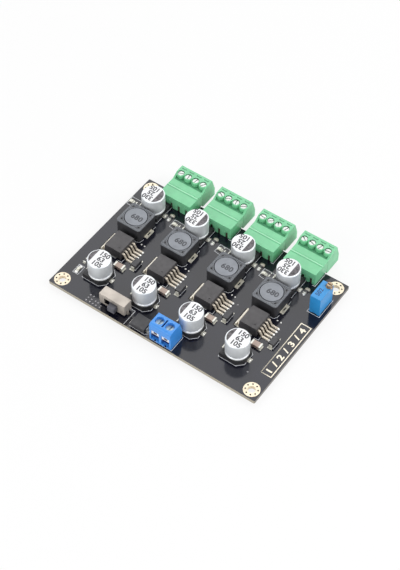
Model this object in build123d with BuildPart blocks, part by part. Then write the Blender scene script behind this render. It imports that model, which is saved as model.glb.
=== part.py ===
"""A four-channel buck converter module, in millimetres.

The frame: origin at the centre of the four mounting holes on the board's underside, +X along the
front edge from the first channel to the fourth, +Y from the input edge to the output edge, +Z up.
"""

from build123d import *
import os

# Board and mounting holes
board_length = 101.0
board_width = 68.4
board_thickness = 1.6
board_corner = 0.5
mounting_hole_d = 3.2
mounting_hole_inset = 4.0
ring_d = 6.8
plating = 0.05
barrel_wall = 0.1
pad_thickness = 0.05
pin_tail = 1.5

# Channel lines, measured from the board's left edge
first_channel = 12.1
channel_spacing = 22.55
channel_shift = (0.0, -0.1, 0.5, 0.0)

# Electrolytic capacitors
can_d = 10.0
can_top = 10.2
can_edge = 0.5
can_groove = 0.3
can_groove_height = 1.9
can_groove_width = 0.8
can_bead = 0.35
can_base_side = 10.3
can_base_chamfer = 2.4
can_base_floor = 1.0
can_base_lift = 0.1
can_base_corner_height = 1.0
can_fit = 0.1
can_lead_width = 1.1
can_lead_thickness = 0.3
can_lead_inner = 1.6
can_lead_reach = 5.9
can_pad_margin = 0.7
can_pad_length = 2.7
can_pad_width = 2.2
input_can_offset = 3.1
input_can_from_front = 14.8
output_can_from_back = 13.1

# Shielded inductors
inductor_side = 12.0
inductor_height = 7.0
inductor_corner = 1.3
inductor_edge = 0.35
inductor_lift = 0.3
inductor_offset = -0.15
inductor_from_front = 43.4
shield_bore_d = 10.15
shield_floor = 0.9
shield_rim = 0.8
shield_rim_corner = 1.6
shield_recess = 0.3
core_flange_d = 9.5
core_flange = 1.3
core_post_d = 4.6
core_drop = 0.15
winding_gap = 0.1
winding_d = 9.2
inductor_terminal_width = 5.0
inductor_terminal_thickness = 0.3
inductor_terminal_height = 0.8
inductor_terminal_toe = 1.1
inductor_terminal_heel = 2.0
inductor_pad_reach = 1.4
dimple_d = 0.8
dimple_depth = 0.2
dimple_inset = 1.7

# Five-lead regulators
regulator_x = (13.2, 34.9, 58.4, 80.3)
regulator_from_front = 30.35
regulator_length = 8.4
regulator_width = 10.0
regulator_height = 4.5
regulator_step = 1.3
regulator_draft = 5.0
tab_thickness = 1.27
tab_reach = 1.3
tab_width = 9.2
tab_depth = 6.4
tab_notch = 0.8
tab_pad_reach = 2.6
lead_count = 5
lead_pitch = 1.7
lead_width = 0.8
lead_thickness = 0.5
lead_exit = 2.7
lead_shoulder = 0.7
lead_knee = 1.1
lead_foot_end = 5.0
lead_root = 0.8
lead_bend = 0.35
lead_pad_length = 3.2
lead_pad_width = 1.05
lead_pad_margin = 0.2
regulator_dimple_d = 1.0
regulator_dimple_inset = 2.0

# Channel diodes and the input diode
diode_offset = 12.1
diode_from_front = 27.0
diode_length = 4.4
diode_width = 2.6
diode_height = 2.2
diode_lift = 0.25
diode_draft = 4.0
diode_terminal_width = 1.5
diode_terminal_thickness = 0.2
diode_terminal_toe = 0.35
diode_terminal_under = 1.2
diode_terminal_exit = 1.2
diode_terminal_bend = 0.12
diode_pad_length = 2.2
input_diode_x = 44.2
input_diode_from_front = 3.95
input_diode_length = 6.9
input_diode_width = 5.8
input_diode_height = 2.4
input_diode_terminal_width = 3.0
input_diode_pad_width = 3.4

# Ceramic capacitors
ceramic_offset = 7.2
ceramic_from_front = 22.1
ceramic_length = 4.5
ceramic_width = 2.5
ceramic_height = 1.6
ceramic_end = 0.7

# Chip resistors and light-emitting diodes
chip_length = 2.2
chip_width = 1.4
chip_height = 0.55
chip_end = 0.4
led_base = 0.4
led_height = 0.85
led_lens_gap = 0.1
led_draft = 10.0
termination_wall = 0.05
chip_pad_margin = 0.35
output_led_offset = -10.4
output_resistor_offset = -7.1
output_chip_from_back = 14.6
load_resistor_offset = 8.5
load_resistor_from_back = 12.6
power_led_from_left = 6.3
power_led_from_front = 11.7
power_resistor_from_left = 6.0
power_resistor_from_front = 16.9

# Output headers and their plugs
pole_count = 4
pole_pitch = 3.81
first_pole = 13.53
terminal_spacing = 20.75
terminal_shift = (0.0, 0.0, 0.35, 0.0)
header_overhang = 1.5
header_depth = 9.2
header_height = 6.5
header_side_margin = 2.08
header_wall = 0.8
header_floor = 1.0
header_roof = 1.2
header_recess = 0.5
header_cavity_depth = 7.0
header_groove_width = 1.9
header_groove_depth = 1.4
header_groove_height = 4.5
header_pin = 0.9
header_pin_height = 3.2
header_pin_in_groove = 0.85
header_pin_tip = 0.6
pin_bend = 0.6
pin_hole_clearance = 0.15
plug_fit = 0.15
plug_body_gap = 0.2
plug_depth = 8.7
plug_bottom = -1.7
plug_top = 8.4
plug_chamfer_height = 6.0
plug_chamfer_depth = 1.95
deck_overlap = 3.0
deck_joint = 0.2
deck_gap = 0.05
roof_rib = 0.35
roof_rib_height = 0.12
roof_rib_to_deck = 0.45
tower_d = 3.75
tower_from_body = 3.0
tower_edge = 0.35
end_wall = 0.8
end_wall_run = 2.9
tower_draft = 35.0
well_d = 3.0
clamp_screw_head_d = 2.8
clamp_screw_head = 1.2
clamp_screw_drop = 0.6
clamp_screw_d = 2.0
clamp_screw_in_cage = 1.6
slot_width = 0.45
slot_depth = 0.5
cage_width = 3.0
cage_wall = 0.45
cage_bottom = -0.5
cage_height = 5.2
cage_length = 3.6
cage_fit = 0.05
wire_entry_width = 2.8
wire_entry_height = 2.9
contact_thickness = 0.25
contact_width = 1.2
contact_gap = 0.05
contact_reach = 5.0
socket_side = 2.0

# Slide switch
switch_from_left = 24.0
switch_from_front = 3.1
switch_length = 12.5
switch_depth = 4.6
switch_height = 6.5
switch_sheet = 0.35
switch_standoff = 0.9
switch_window_from_left = 2.45
switch_window_length = 6.6
switch_window_low = 1.6
switch_window_height = 3.2
knob_length = 3.3
knob_height = 2.8
knob_reach = 2.4
knob_round = 0.3
slide_clearance = 0.1
carriage_length = 5.2
carriage_depth = 2.3
wafer_thickness = 1.0
wafer_inset = 0.2
switch_leg_width = 1.1
switch_pin_count = 3
switch_pin_pitch = 3.0
switch_pin_width = 0.8
switch_pin_thickness = 0.5
switch_pin_out = 0.9
switch_pin_height = 3.2
end_notch_width = 2.0
end_notch_height = 1.8

# Input screw terminal
terminal_from_left = 55.8
terminal_from_front = 0.7
terminal_pole_pitch = 5.0
terminal_width = 10.2
terminal_depth = 7.7
terminal_height = 9.8
terminal_nose = 1.1
terminal_top_depth = 6.5
terminal_waist_height = 4.9
terminal_well_d = 3.8
terminal_well_from_front = 3.5
terminal_well_depth = 3.6
terminal_groove_width = 0.7
terminal_groove_length = 4.0
terminal_groove_depth = 1.0
terminal_window_width = 3.9
terminal_window_low = 0.8
terminal_window_height = 5.3
terminal_window_depth = 5.4
terminal_notch_width = 0.8
terminal_screw_head_d = 3.7
terminal_screw_head = 1.3
terminal_screw_drop = 1.6
terminal_screw_d = 2.6
terminal_screw_in_cage = 1.2
terminal_slot_width = 0.6
terminal_cage_width = 3.7
terminal_cage_height = 3.3
terminal_cage_wall = 0.5
terminal_cage_length = 4.6
terminal_cage_inset = 0.35
terminal_pin = 1.0

# Multi-turn trimmer
trimmer_from_right = 1.82
trimmer_from_back = 10.37
trimmer_length = 9.53
trimmer_width = 4.83
trimmer_height = 10.03
trimmer_standoff = 0.4
trimmer_standoff_side = 1.2
trimmer_screw_d = 2.2
trimmer_screw_inset = 1.27
trimmer_screw_rise = 1.3
trimmer_notch_d = 3.0
trimmer_notch_depth = 1.2
trimmer_stem_d = 1.4
trimmer_stem_length = 5.0
turning_clearance = 0.05
trimmer_pin = 0.5
trimmer_pin_pitch = 2.54

# Places worked out from the sizes above
left_edge = -board_length / 2
front_edge = -board_width / 2
back_edge = board_width / 2
board_top = board_thickness
seat = board_top + pad_thickness
hole_x = board_length / 2 - mounting_hole_inset
hole_y = board_width / 2 - mounting_hole_inset
channel_x = [
    left_edge + first_channel + index * channel_spacing + shift
    for index, shift in enumerate(channel_shift)
]
input_can_places = [(x + input_can_offset, front_edge + input_can_from_front) for x in channel_x]
output_can_places = [(x, back_edge - output_can_from_back) for x in channel_x]
inductor_places = [(x + inductor_offset, front_edge + inductor_from_front) for x in channel_x]
regulator_places = [(left_edge + x, front_edge + regulator_from_front) for x in regulator_x]
diode_places = [(x + diode_offset, front_edge + diode_from_front) for x in channel_x]
input_diode_place = (left_edge + input_diode_x, front_edge + input_diode_from_front)
ceramic_places = [(x + ceramic_offset, front_edge + ceramic_from_front) for x in channel_x]
led_places = [(x + output_led_offset, back_edge - output_chip_from_back, 0) for x in channel_x]
led_places.append((left_edge + power_led_from_left, front_edge + power_led_from_front, 90))
resistor_places = [
    (x + output_resistor_offset, back_edge - output_chip_from_back, 0) for x in channel_x
]
resistor_places += [
    (x + load_resistor_offset, back_edge - load_resistor_from_back, 90) for x in channel_x
]
resistor_places.append(
    (left_edge + power_resistor_from_left, front_edge + power_resistor_from_front, 90)
)
terminal_count = 4
first_poles = [
    left_edge + first_pole + unit * terminal_spacing + terminal_shift[unit]
    for unit in range(terminal_count)
]
pole_x = [[first + pole * pole_pitch for pole in range(pole_count)] for first in first_poles]
header_width = (pole_count - 1) * pole_pitch + 2 * header_side_margin
header_front = back_edge + header_overhang
header_rear = header_front - header_depth
header_pin_y = header_rear + header_pin_in_groove
deck_front = header_front - deck_overlap
plug_face = header_front + plug_body_gap
plug_rear = plug_face + plug_depth
tower_y = plug_face + tower_from_body
switch_left = left_edge + switch_from_left
switch_front = front_edge + switch_from_front
switch_rear = switch_front + switch_depth
switch_base = board_top + switch_standoff
switch_roof = board_top + switch_height
terminal_x = left_edge + terminal_from_left
terminal_front = front_edge + terminal_from_front
terminal_poles = [terminal_x + side * terminal_pole_pitch / 2 for side in (-1, 1)]
terminal_well_y = terminal_front + terminal_well_from_front
trimmer_x = board_length / 2 - trimmer_from_right - trimmer_width / 2
trimmer_y = back_edge - trimmer_from_back - trimmer_length / 2
trimmer_screw_x = trimmer_x + trimmer_width / 2 - trimmer_screw_inset
trimmer_screw_y = trimmer_y + trimmer_length / 2 - trimmer_screw_inset
trimmer_top = board_top + trimmer_height
notch_floor = trimmer_top - trimmer_notch_depth
trimmer_pin_places = [
    (trimmer_x, trimmer_y + offset * trimmer_pin_pitch) for offset in (-1, 0, 1)
]
switch_pin_places = [
    (switch_left + switch_length / 2 + (index - 1) * switch_pin_pitch, switch_rear + switch_pin_out)
    for index in range(switch_pin_count)
]
switch_leg_places = [
    (switch_left + side, switch_front + switch_depth / 2)
    for side in (switch_sheet / 2, switch_length - switch_sheet / 2)
]

os.makedirs("parts", exist_ok=True)


def save(part, node):
    """Labels one finished piece and writes it as one STEP file."""
    part.label = node
    export_step(part, f"parts/{node}.step")


def across(centre_x, y=0.0, z=0.0):
    """A sketch plane that looks along +X: its own x is the row's Y, and its own y is the row's Z."""
    return Plane(origin=(centre_x, y, z), x_dir=(0, 1, 0), z_dir=(1, 0, 0))


def along(centre_y, x=0.0, z=0.0):
    """A sketch plane that looks along -Y: its own x is the row's X, and its own y is the row's Z."""
    return Plane(origin=(x, centre_y, z), x_dir=(1, 0, 0), z_dir=(0, -1, 0))


def board_hole_d(pin_diagonal):
    """The plated hole for a through-hole pin: the pin's diagonal and a clearance all round."""
    return pin_diagonal + 2 * pin_hole_clearance


header_pin_hole_d = board_hole_d(header_pin * 2**0.5)
terminal_pin_hole_d = board_hole_d(terminal_pin * 2**0.5)
trimmer_pin_hole_d = board_hole_d(trimmer_pin)
switch_pin_hole_d = board_hole_d((switch_pin_width**2 + switch_pin_thickness**2) ** 0.5)
switch_leg_hole_d = board_hole_d((switch_leg_width**2 + switch_sheet**2) ** 0.5)

# Circuit board with its mounting holes and the holes for every through-hole pin
with BuildPart() as circuit_board:
    with BuildSketch() as board_outline:
        RectangleRounded(board_length, board_width, board_corner)
        with GridLocations(2 * hole_x, 2 * hole_y, 2, 2):
            Circle(mounting_hole_d / 2 + barrel_wall, mode=Mode.SUBTRACT)
        with Locations([(x, header_pin_y) for unit in pole_x for x in unit]):
            Circle(header_pin_hole_d / 2, mode=Mode.SUBTRACT)
        with Locations([(x, terminal_well_y) for x in terminal_poles]):
            Circle(terminal_pin_hole_d / 2, mode=Mode.SUBTRACT)
        with Locations(trimmer_pin_places):
            Circle(trimmer_pin_hole_d / 2, mode=Mode.SUBTRACT)
        with Locations(switch_pin_places):
            Circle(switch_pin_hole_d / 2, mode=Mode.SUBTRACT)
        with Locations(switch_leg_places):
            Circle(switch_leg_hole_d / 2, mode=Mode.SUBTRACT)
    extrude(amount=board_thickness)
save(circuit_board.part, "circuit_board")

# Plated eyelets of the mounting holes: a ring on each face and the barrel between them
with BuildPart() as mounting_hole_plating:
    with BuildSketch(Plane.XY.offset(-plating)):
        with GridLocations(2 * hole_x, 2 * hole_y, 2, 2):
            Circle(ring_d / 2)
            Circle(mounting_hole_d / 2, mode=Mode.SUBTRACT)
    extrude(amount=plating)
    with BuildSketch(Plane.XY.offset(board_top)):
        with GridLocations(2 * hole_x, 2 * hole_y, 2, 2):
            Circle(ring_d / 2)
            Circle(mounting_hole_d / 2, mode=Mode.SUBTRACT)
    extrude(amount=plating)
    with BuildSketch():
        with GridLocations(2 * hole_x, 2 * hole_y, 2, 2):
            Circle(mounting_hole_d / 2 + barrel_wall)
            Circle(mounting_hole_d / 2, mode=Mode.SUBTRACT)
    extrude(amount=board_thickness)
save(mounting_hole_plating.part, "mounting_hole_plating")

# Tinned pads that the surface parts stand on
can_pad_reach = can_lead_reach + can_pad_margin - can_pad_length / 2
inductor_pad_x = inductor_side / 2 + inductor_pad_reach - (inductor_terminal_heel + inductor_pad_reach) / 2
lead_pad_x = regulator_length / 2 + lead_foot_end + lead_pad_margin - lead_pad_length / 2
tab_pad_length = tab_pad_reach + tab_depth
chip_pad_reach = chip_length / 2 - chip_end / 2
with BuildPart() as tinned_pads:
    with BuildSketch(Plane.XY.offset(board_top)):
        with Locations(input_can_places + output_can_places):
            with GridLocations(2 * can_pad_reach, 1, 2, 1):
                Rectangle(can_pad_length, can_pad_width)
        with Locations(inductor_places):
            with GridLocations(2 * inductor_pad_x, 1, 2, 1):
                Rectangle(inductor_terminal_heel + inductor_pad_reach, inductor_terminal_width)
        for x, y in regulator_places:
            with Locations((x - regulator_length / 2 - tab_pad_reach + tab_pad_length / 2, y)):
                Rectangle(tab_pad_length, regulator_width)
            with Locations((x + lead_pad_x, y)):
                with GridLocations(1, lead_pitch, 1, lead_count):
                    Rectangle(lead_pad_length, lead_pad_width)
        with Locations(diode_places):
            with GridLocations(1, diode_length, 1, 2):
                Rectangle(diode_terminal_width + 2 * chip_pad_margin, diode_pad_length)
        with Locations(input_diode_place):
            with GridLocations(input_diode_length, 1, 2, 1):
                Rectangle(diode_pad_length, input_diode_pad_width)
        with Locations(ceramic_places):
            with GridLocations(ceramic_length - ceramic_end, 1, 2, 1):
                Rectangle(ceramic_end + 2 * chip_pad_margin, ceramic_width)
        for x, y, turn in led_places + resistor_places:
            with Locations(Location((x, y), turn)):
                with GridLocations(2 * chip_pad_reach, 1, 2, 1):
                    Rectangle(chip_end + 2 * chip_pad_margin, chip_width)
    extrude(amount=pad_thickness)
save(tinned_pads.part, "tinned_pads")


# Electrolytic capacitors
def capacitor_can(place):
    """A drawn can: a rounded top edge, a rolled groove above its foot and a bead at the bottom."""
    radius = can_d / 2
    foot = seat + can_base_lift + can_base_floor
    groove = foot + can_groove_height
    with BuildPart() as can:
        with BuildSketch(Plane.XZ):
            with BuildLine():
                Polyline((0, foot), (radius - can_bead, foot), (radius, foot + can_bead))
                Line((radius, foot + can_bead), (radius, groove - can_groove_width / 2))
                ThreePointArc(
                    (radius, groove - can_groove_width / 2),
                    (radius - can_groove, groove),
                    (radius, groove + can_groove_width / 2),
                )
                Line((radius, groove + can_groove_width / 2), (radius, board_top + can_top - can_edge))
                Line((radius, board_top + can_top - can_edge), (radius - can_edge, board_top + can_top))
                Polyline(
                    (radius - can_edge, board_top + can_top), (0, board_top + can_top), (0, foot)
                )
            make_face()
        revolve(axis=Axis.Z)
    return can.part.moved(Location(place))


for index, place in enumerate(input_can_places):
    save(capacitor_can(place), f"input_capacitor_can_{index + 1}")
for index, place in enumerate(output_can_places):
    save(capacitor_can(place), f"output_capacitor_can_{index + 1}")

lead_slot = can_lead_thickness - can_base_lift
can_bases = [(x, y, 1) for x, y in input_can_places] + [(x, y, -1) for x, y in output_can_places]
with BuildPart() as capacitor_bases:
    for x, y, facing in can_bases:
        half = can_base_side / 2
        cut = half - can_base_chamfer
        with BuildSketch(Plane((x, y, seat + can_base_lift))):
            with BuildLine():
                Polyline(
                    (-half * facing, -half),
                    (cut * facing, -half),
                    (half * facing, -cut),
                    (half * facing, cut),
                    (cut * facing, half),
                    (-half * facing, half),
                    close=True,
                )
            make_face()
        extrude(amount=can_base_floor + can_base_corner_height)
        with BuildSketch(Plane((x, y, seat + can_base_lift + can_base_floor))):
            Circle(can_d / 2 + can_fit)
        extrude(amount=can_base_corner_height, mode=Mode.SUBTRACT)
        with BuildSketch(Plane((x, y, seat + can_base_lift))):
            with GridLocations(can_lead_reach + can_lead_inner, 1, 2, 1):
                Rectangle(can_lead_reach - can_lead_inner, can_lead_width)
        extrude(amount=lead_slot, mode=Mode.SUBTRACT)
save(capacitor_bases.part, "capacitor_bases")

with BuildPart() as capacitor_leads:
    with BuildSketch(Plane.XY.offset(seat)):
        with Locations(input_can_places + output_can_places):
            with GridLocations(can_lead_reach + can_lead_inner, 1, 2, 1):
                Rectangle(can_lead_reach - can_lead_inner, can_lead_width)
    extrude(amount=can_lead_thickness)
save(capacitor_leads.part, "capacitor_leads")

# Shielded inductors
inductor_base = seat + inductor_lift
inductor_roof = board_top + inductor_height
core_top = inductor_roof - core_drop
core_foot = inductor_base + shield_floor
recess_floor = inductor_roof - shield_recess
recess_side = inductor_side - 2 * shield_rim
terminal_slot_height = inductor_terminal_height - inductor_lift


def inductor_shield(place):
    """A square ferrite sleeve: a raised rim, a round bore, a closed floor and a slot for each terminal."""
    x, y = place
    with BuildPart() as shield:
        with BuildSketch(Plane((x, y, inductor_base))):
            RectangleRounded(inductor_side, inductor_side, inductor_corner)
        extrude(amount=inductor_roof - inductor_base)
        chamfer(shield.faces().sort_by(Axis.Z)[-1].edges(), inductor_edge)
        with BuildSketch(Plane((x, y, core_foot))):
            Circle(shield_bore_d / 2)
        extrude(amount=inductor_height, mode=Mode.SUBTRACT)
        with BuildSketch(Plane((x, y, recess_floor))):
            RectangleRounded(recess_side, recess_side, shield_rim_corner)
        extrude(amount=shield_recess, mode=Mode.SUBTRACT)
        with BuildSketch(Plane((x, y, recess_floor - dimple_depth))):
            span = inductor_side - 2 * dimple_inset
            with GridLocations(span, span, 2, 2):
                Circle(dimple_d / 2)
        extrude(amount=dimple_depth, mode=Mode.SUBTRACT)
        with BuildSketch(Plane((x, y, inductor_base))):
            with GridLocations(inductor_side - inductor_terminal_thickness, 1, 2, 1):
                Rectangle(inductor_terminal_thickness, inductor_terminal_width)
        extrude(amount=terminal_slot_height, mode=Mode.SUBTRACT)
    return shield.part


for index, place in enumerate(inductor_places):
    save(inductor_shield(place), f"inductor_shield_{index + 1}")

with BuildPart() as inductor_cores:
    with BuildSketch(Plane.XY.offset(core_foot)):
        with Locations(inductor_places):
            Circle(core_flange_d / 2)
    extrude(amount=core_flange)
    with BuildSketch(Plane.XY.offset(core_foot + core_flange)):
        with Locations(inductor_places):
            Circle(core_post_d / 2)
    extrude(amount=core_top - core_foot - 2 * core_flange)
    with BuildSketch(Plane.XY.offset(core_top - core_flange)):
        with Locations(inductor_places):
            Circle(core_flange_d / 2)
    extrude(amount=core_flange)
save(inductor_cores.part, "inductor_cores")

with BuildPart() as inductor_windings:
    with BuildSketch(Plane.XY.offset(core_foot + core_flange + winding_gap)):
        with Locations(inductor_places):
            Circle(winding_d / 2)
            Circle(core_post_d / 2 + winding_gap, mode=Mode.SUBTRACT)
    extrude(amount=core_top - core_foot - 2 * core_flange - 2 * winding_gap)
save(inductor_windings.part, "inductor_windings")

with BuildPart() as inductor_terminals:
    for x, y in inductor_places:
        for side in (-1, 1):
            wall = x + side * inductor_side / 2
            with BuildSketch(along(y + inductor_terminal_width / 2)):
                with BuildLine():
                    Polyline(
                        (wall + side * inductor_terminal_toe, seat),
                        (wall - side * inductor_terminal_heel, seat),
                        (wall - side * inductor_terminal_heel, seat + inductor_terminal_thickness),
                        (wall - side * inductor_terminal_thickness, seat + inductor_terminal_thickness),
                        (wall - side * inductor_terminal_thickness, seat + inductor_terminal_height),
                        (wall, seat + inductor_terminal_height),
                        (wall, seat + inductor_terminal_thickness),
                        (wall + side * inductor_terminal_toe, seat + inductor_terminal_thickness),
                        close=True,
                    )
                make_face()
            extrude(amount=inductor_terminal_width)
save(inductor_terminals.part, "inductor_terminals")

# Five-lead regulators
tab_length = tab_reach + tab_depth
tab_x = -regulator_length / 2 - tab_reach + tab_length / 2
lead_root_x = regulator_length / 2 - lead_root
lead_path = [
    (lead_root_x, lead_exit),
    (regulator_length / 2 + lead_shoulder, lead_exit),
    (regulator_length / 2 + lead_shoulder + lead_knee, lead_thickness / 2),
    (regulator_length / 2 + lead_foot_end, lead_thickness / 2),
]


def regulator_body(place):
    """A moulded block with drafted sides, a pocket for the tab and one for the root of each lead."""
    x, y = place
    with BuildPart() as body:
        with BuildSketch(Plane((x, y, seat + regulator_step))):
            Rectangle(regulator_length, regulator_width)
        extrude(amount=regulator_height - regulator_step - pad_thickness, taper=regulator_draft)
        with BuildSketch(Plane((x, y, seat + regulator_step))):
            Rectangle(regulator_length, regulator_width)
        extrude(amount=-regulator_step, taper=regulator_draft)
        with BuildSketch(Plane((x + tab_x, y, seat))):
            Rectangle(tab_length, tab_width)
        extrude(amount=tab_thickness, mode=Mode.SUBTRACT)
        with BuildSketch(Plane((x + lead_root_x, y, seat + lead_exit - lead_thickness / 2))):
            with GridLocations(1, lead_pitch, 1, lead_count):
                Rectangle(lead_root, lead_width, align=(Align.MIN, Align.CENTER))
        extrude(amount=lead_thickness, mode=Mode.SUBTRACT)
        with BuildSketch(Plane((x, y, board_top + regulator_height - dimple_depth))):
            corner_x = regulator_length / 2 - regulator_dimple_inset
            corner_y = -regulator_width / 2 + regulator_dimple_inset
            with Locations((corner_x, corner_y)):
                Circle(regulator_dimple_d / 2)
        extrude(amount=dimple_depth, mode=Mode.SUBTRACT)
    return body.part


for index, place in enumerate(regulator_places):
    save(regulator_body(place), f"regulator_body_{index + 1}")

with BuildPart() as regulator_leadframes:
    for x, y in regulator_places:
        with BuildSketch(Plane((x + tab_x, y, seat))):
            Rectangle(tab_length, tab_width)
            with Locations((-tab_length / 2, -tab_width / 2), (-tab_length / 2, tab_width / 2)):
                Circle(tab_notch, mode=Mode.SUBTRACT)
        extrude(amount=tab_thickness)
        for row in range(lead_count):
            lead_y = y + (row - (lead_count - 1) / 2) * lead_pitch
            with BuildSketch(along(lead_y + lead_width / 2, x, seat)):
                with BuildLine():
                    FilletPolyline(*lead_path, radius=lead_bend)
                trace(line_width=lead_thickness)
            extrude(amount=lead_width)
save(regulator_leadframes.part, "regulator_leadframes")


# Diodes: a drafted block on two bent terminals, one at each end of its length
class DiodeSize:
    """The sizes of one diode, and the way its length runs: 90 degrees is along Y."""

    def __init__(self, length, width, height, terminal_width, turn):
        self.length = length
        self.width = width
        self.height = height
        self.terminal_width = terminal_width
        self.turn = turn


channel_diode = DiodeSize(diode_length, diode_width, diode_height, diode_terminal_width, 90)
input_diode = DiodeSize(
    input_diode_length, input_diode_width, input_diode_height, input_diode_terminal_width, 0
)


def turned_plane(x, y, z, turn):
    """A level sketch plane at a place, turned about +Z."""
    return Plane((x, y, z)).rotated((0, 0, turn))


def diode_body(place, size):
    """Two drafted halves that meet where the terminals come out, with a slot there at each end."""
    x, y = place
    with BuildPart() as body:
        for way in (1, -1):
            rise = size.height - diode_terminal_exit if way == 1 else diode_terminal_exit - diode_lift
            with BuildSketch(turned_plane(x, y, seat + diode_terminal_exit, size.turn)):
                Rectangle(size.length, size.width)
            extrude(amount=way * rise, taper=diode_draft)
        with BuildSketch(turned_plane(x, y, seat + diode_terminal_exit, size.turn)):
            with GridLocations(size.length - diode_terminal_toe, 1, 2, 1):
                Rectangle(diode_terminal_toe, size.terminal_width)
        extrude(amount=diode_terminal_thickness, mode=Mode.SUBTRACT)
    return body.part


def diode_terminals_of(place, size):
    """Both terminals: out of the end, down outside it and back under the body."""
    x, y = place
    end = size.length / 2
    half = diode_terminal_thickness / 2
    drop = end + diode_terminal_toe - half
    with BuildPart() as terminals:
        for side in (-1, 1):
            base = turned_plane(x, y, seat, size.turn)
            section = Plane(base.origin, x_dir=side * base.x_dir, z_dir=side * base.y_dir * -1)
            with BuildSketch(section.offset(-size.terminal_width / 2)):
                with BuildLine():
                    FilletPolyline(
                        (end - diode_terminal_toe, diode_terminal_exit + half),
                        (drop, diode_terminal_exit + half),
                        (drop, half),
                        (end - diode_terminal_under, half),
                        radius=diode_terminal_bend,
                    )
                trace(line_width=diode_terminal_thickness)
            extrude(amount=size.terminal_width)
    return terminals.part


diodes = [(place, channel_diode) for place in diode_places] + [(input_diode_place, input_diode)]
with BuildPart() as diode_bodies:
    for place, size in diodes:
        add(diode_body(place, size))
save(diode_bodies.part, "diode_bodies")

with BuildPart() as diode_terminals:
    for place, size in diodes:
        add(diode_terminals_of(place, size))
save(diode_terminals.part, "diode_terminals")

# Ceramic capacitors, chip resistors and light-emitting diodes, and the tinned caps on their ends
ceramic_body_length = ceramic_length - 2 * termination_wall
chip_body_length = chip_length - 2 * termination_wall
chip_foot = seat + termination_wall

with BuildPart() as ceramic_capacitors:
    with BuildSketch(Plane.XY.offset(chip_foot)):
        with Locations(ceramic_places):
            Rectangle(ceramic_body_length, ceramic_width - 2 * termination_wall)
    extrude(amount=ceramic_height - 2 * termination_wall)
save(ceramic_capacitors.part, "ceramic_capacitors")

with BuildPart() as chip_resistors:
    for x, y, turn in resistor_places:
        with BuildSketch(turned_plane(x, y, chip_foot, turn)):
            Rectangle(chip_body_length, chip_width - 2 * termination_wall)
        extrude(amount=chip_height - 2 * termination_wall)
save(chip_resistors.part, "chip_resistors")

lens_length = chip_length - 2 * chip_end - led_lens_gap
with BuildPart() as light_emitting_diodes:
    for x, y, turn in led_places:
        with BuildSketch(turned_plane(x, y, chip_foot, turn)):
            Rectangle(chip_body_length, chip_width - 2 * termination_wall)
        extrude(amount=led_base - 2 * termination_wall)
        with BuildSketch(turned_plane(x, y, chip_foot + led_base - 2 * termination_wall, turn)):
            Rectangle(lens_length, chip_width - 2 * termination_wall)
        extrude(amount=led_height - led_base, taper=led_draft)
save(light_emitting_diodes.part, "light_emitting_diodes")


def end_caps(place, turn, length, width, height, end):
    """Two thin cups, one over each end of a chip."""
    x, y = place
    with BuildPart() as caps:
        with BuildSketch(turned_plane(x, y, seat, turn)):
            with GridLocations(length - end, 1, 2, 1):
                Rectangle(end, width)
        extrude(amount=height)
        with BuildSketch(turned_plane(x, y, chip_foot, turn)):
            Rectangle(length - 2 * termination_wall, width - 2 * termination_wall)
        extrude(amount=height - 2 * termination_wall, mode=Mode.SUBTRACT)
    return caps.part


with BuildPart() as chip_terminations:
    for place in ceramic_places:
        add(end_caps(place, 0, ceramic_length, ceramic_width, ceramic_height, ceramic_end))
    for x, y, turn in resistor_places:
        add(end_caps((x, y), turn, chip_length, chip_width, chip_height, chip_end))
    for x, y, turn in led_places:
        add(end_caps((x, y), turn, chip_length, chip_width, led_base, chip_end))
save(chip_terminations.part, "chip_terminations")

# Output headers: a box open towards +Y, with a groove behind each pin
header_roof_z = board_top + header_height
cavity_floor = board_top + header_floor
cavity_roof = header_roof_z - header_roof
cavity_rear = header_front - header_cavity_depth
pin_axis = board_top + header_pin_height


def header_housing(poles):
    centre = sum(poles) / pole_count
    with BuildPart() as housing:
        with BuildSketch(across(centre)):
            with BuildLine():
                Polyline(
                    (header_rear, board_top),
                    (header_front, board_top),
                    (header_front, header_roof_z),
                    (header_rear, header_roof_z),
                    close=True,
                )
            make_face()
        extrude(amount=header_width / 2, both=True)
        with BuildSketch(across(centre)):
            with BuildLine():
                Polyline(
                    (cavity_rear, cavity_floor),
                    (header_front, cavity_floor),
                    (header_front, cavity_roof),
                    (cavity_rear, cavity_roof),
                    close=True,
                )
            make_face()
        extrude(amount=header_width / 2 - header_wall, both=True, mode=Mode.SUBTRACT)
        with BuildSketch(across(centre, deck_front - roof_rib_to_deck, header_roof_z)):
            Rectangle(roof_rib, roof_rib_height, align=(Align.MAX, Align.MIN))
        extrude(amount=header_width / 2, both=True)
        with BuildSketch(across(centre, deck_front - deck_joint, header_roof_z - header_recess)):
            Rectangle(header_depth, header_recess, align=(Align.MIN, Align.MIN))
        extrude(amount=header_width / 2, both=True, mode=Mode.SUBTRACT)
        with BuildSketch(Plane.XY.offset(board_top)):
            with Locations([(x, header_rear) for x in poles]):
                Rectangle(header_groove_width, header_groove_depth, align=(Align.CENTER, Align.MIN))
        extrude(amount=header_groove_height, mode=Mode.SUBTRACT)
        with BuildSketch(along(cavity_rear, 0, pin_axis)):
            with Locations([(x, 0) for x in poles]):
                Rectangle(header_pin, header_pin)
        extrude(amount=cavity_rear - header_rear, mode=Mode.SUBTRACT)
    return housing.part


for unit, poles in enumerate(pole_x):
    save(header_housing(poles), f"header_housing_{unit + 1}")

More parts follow.
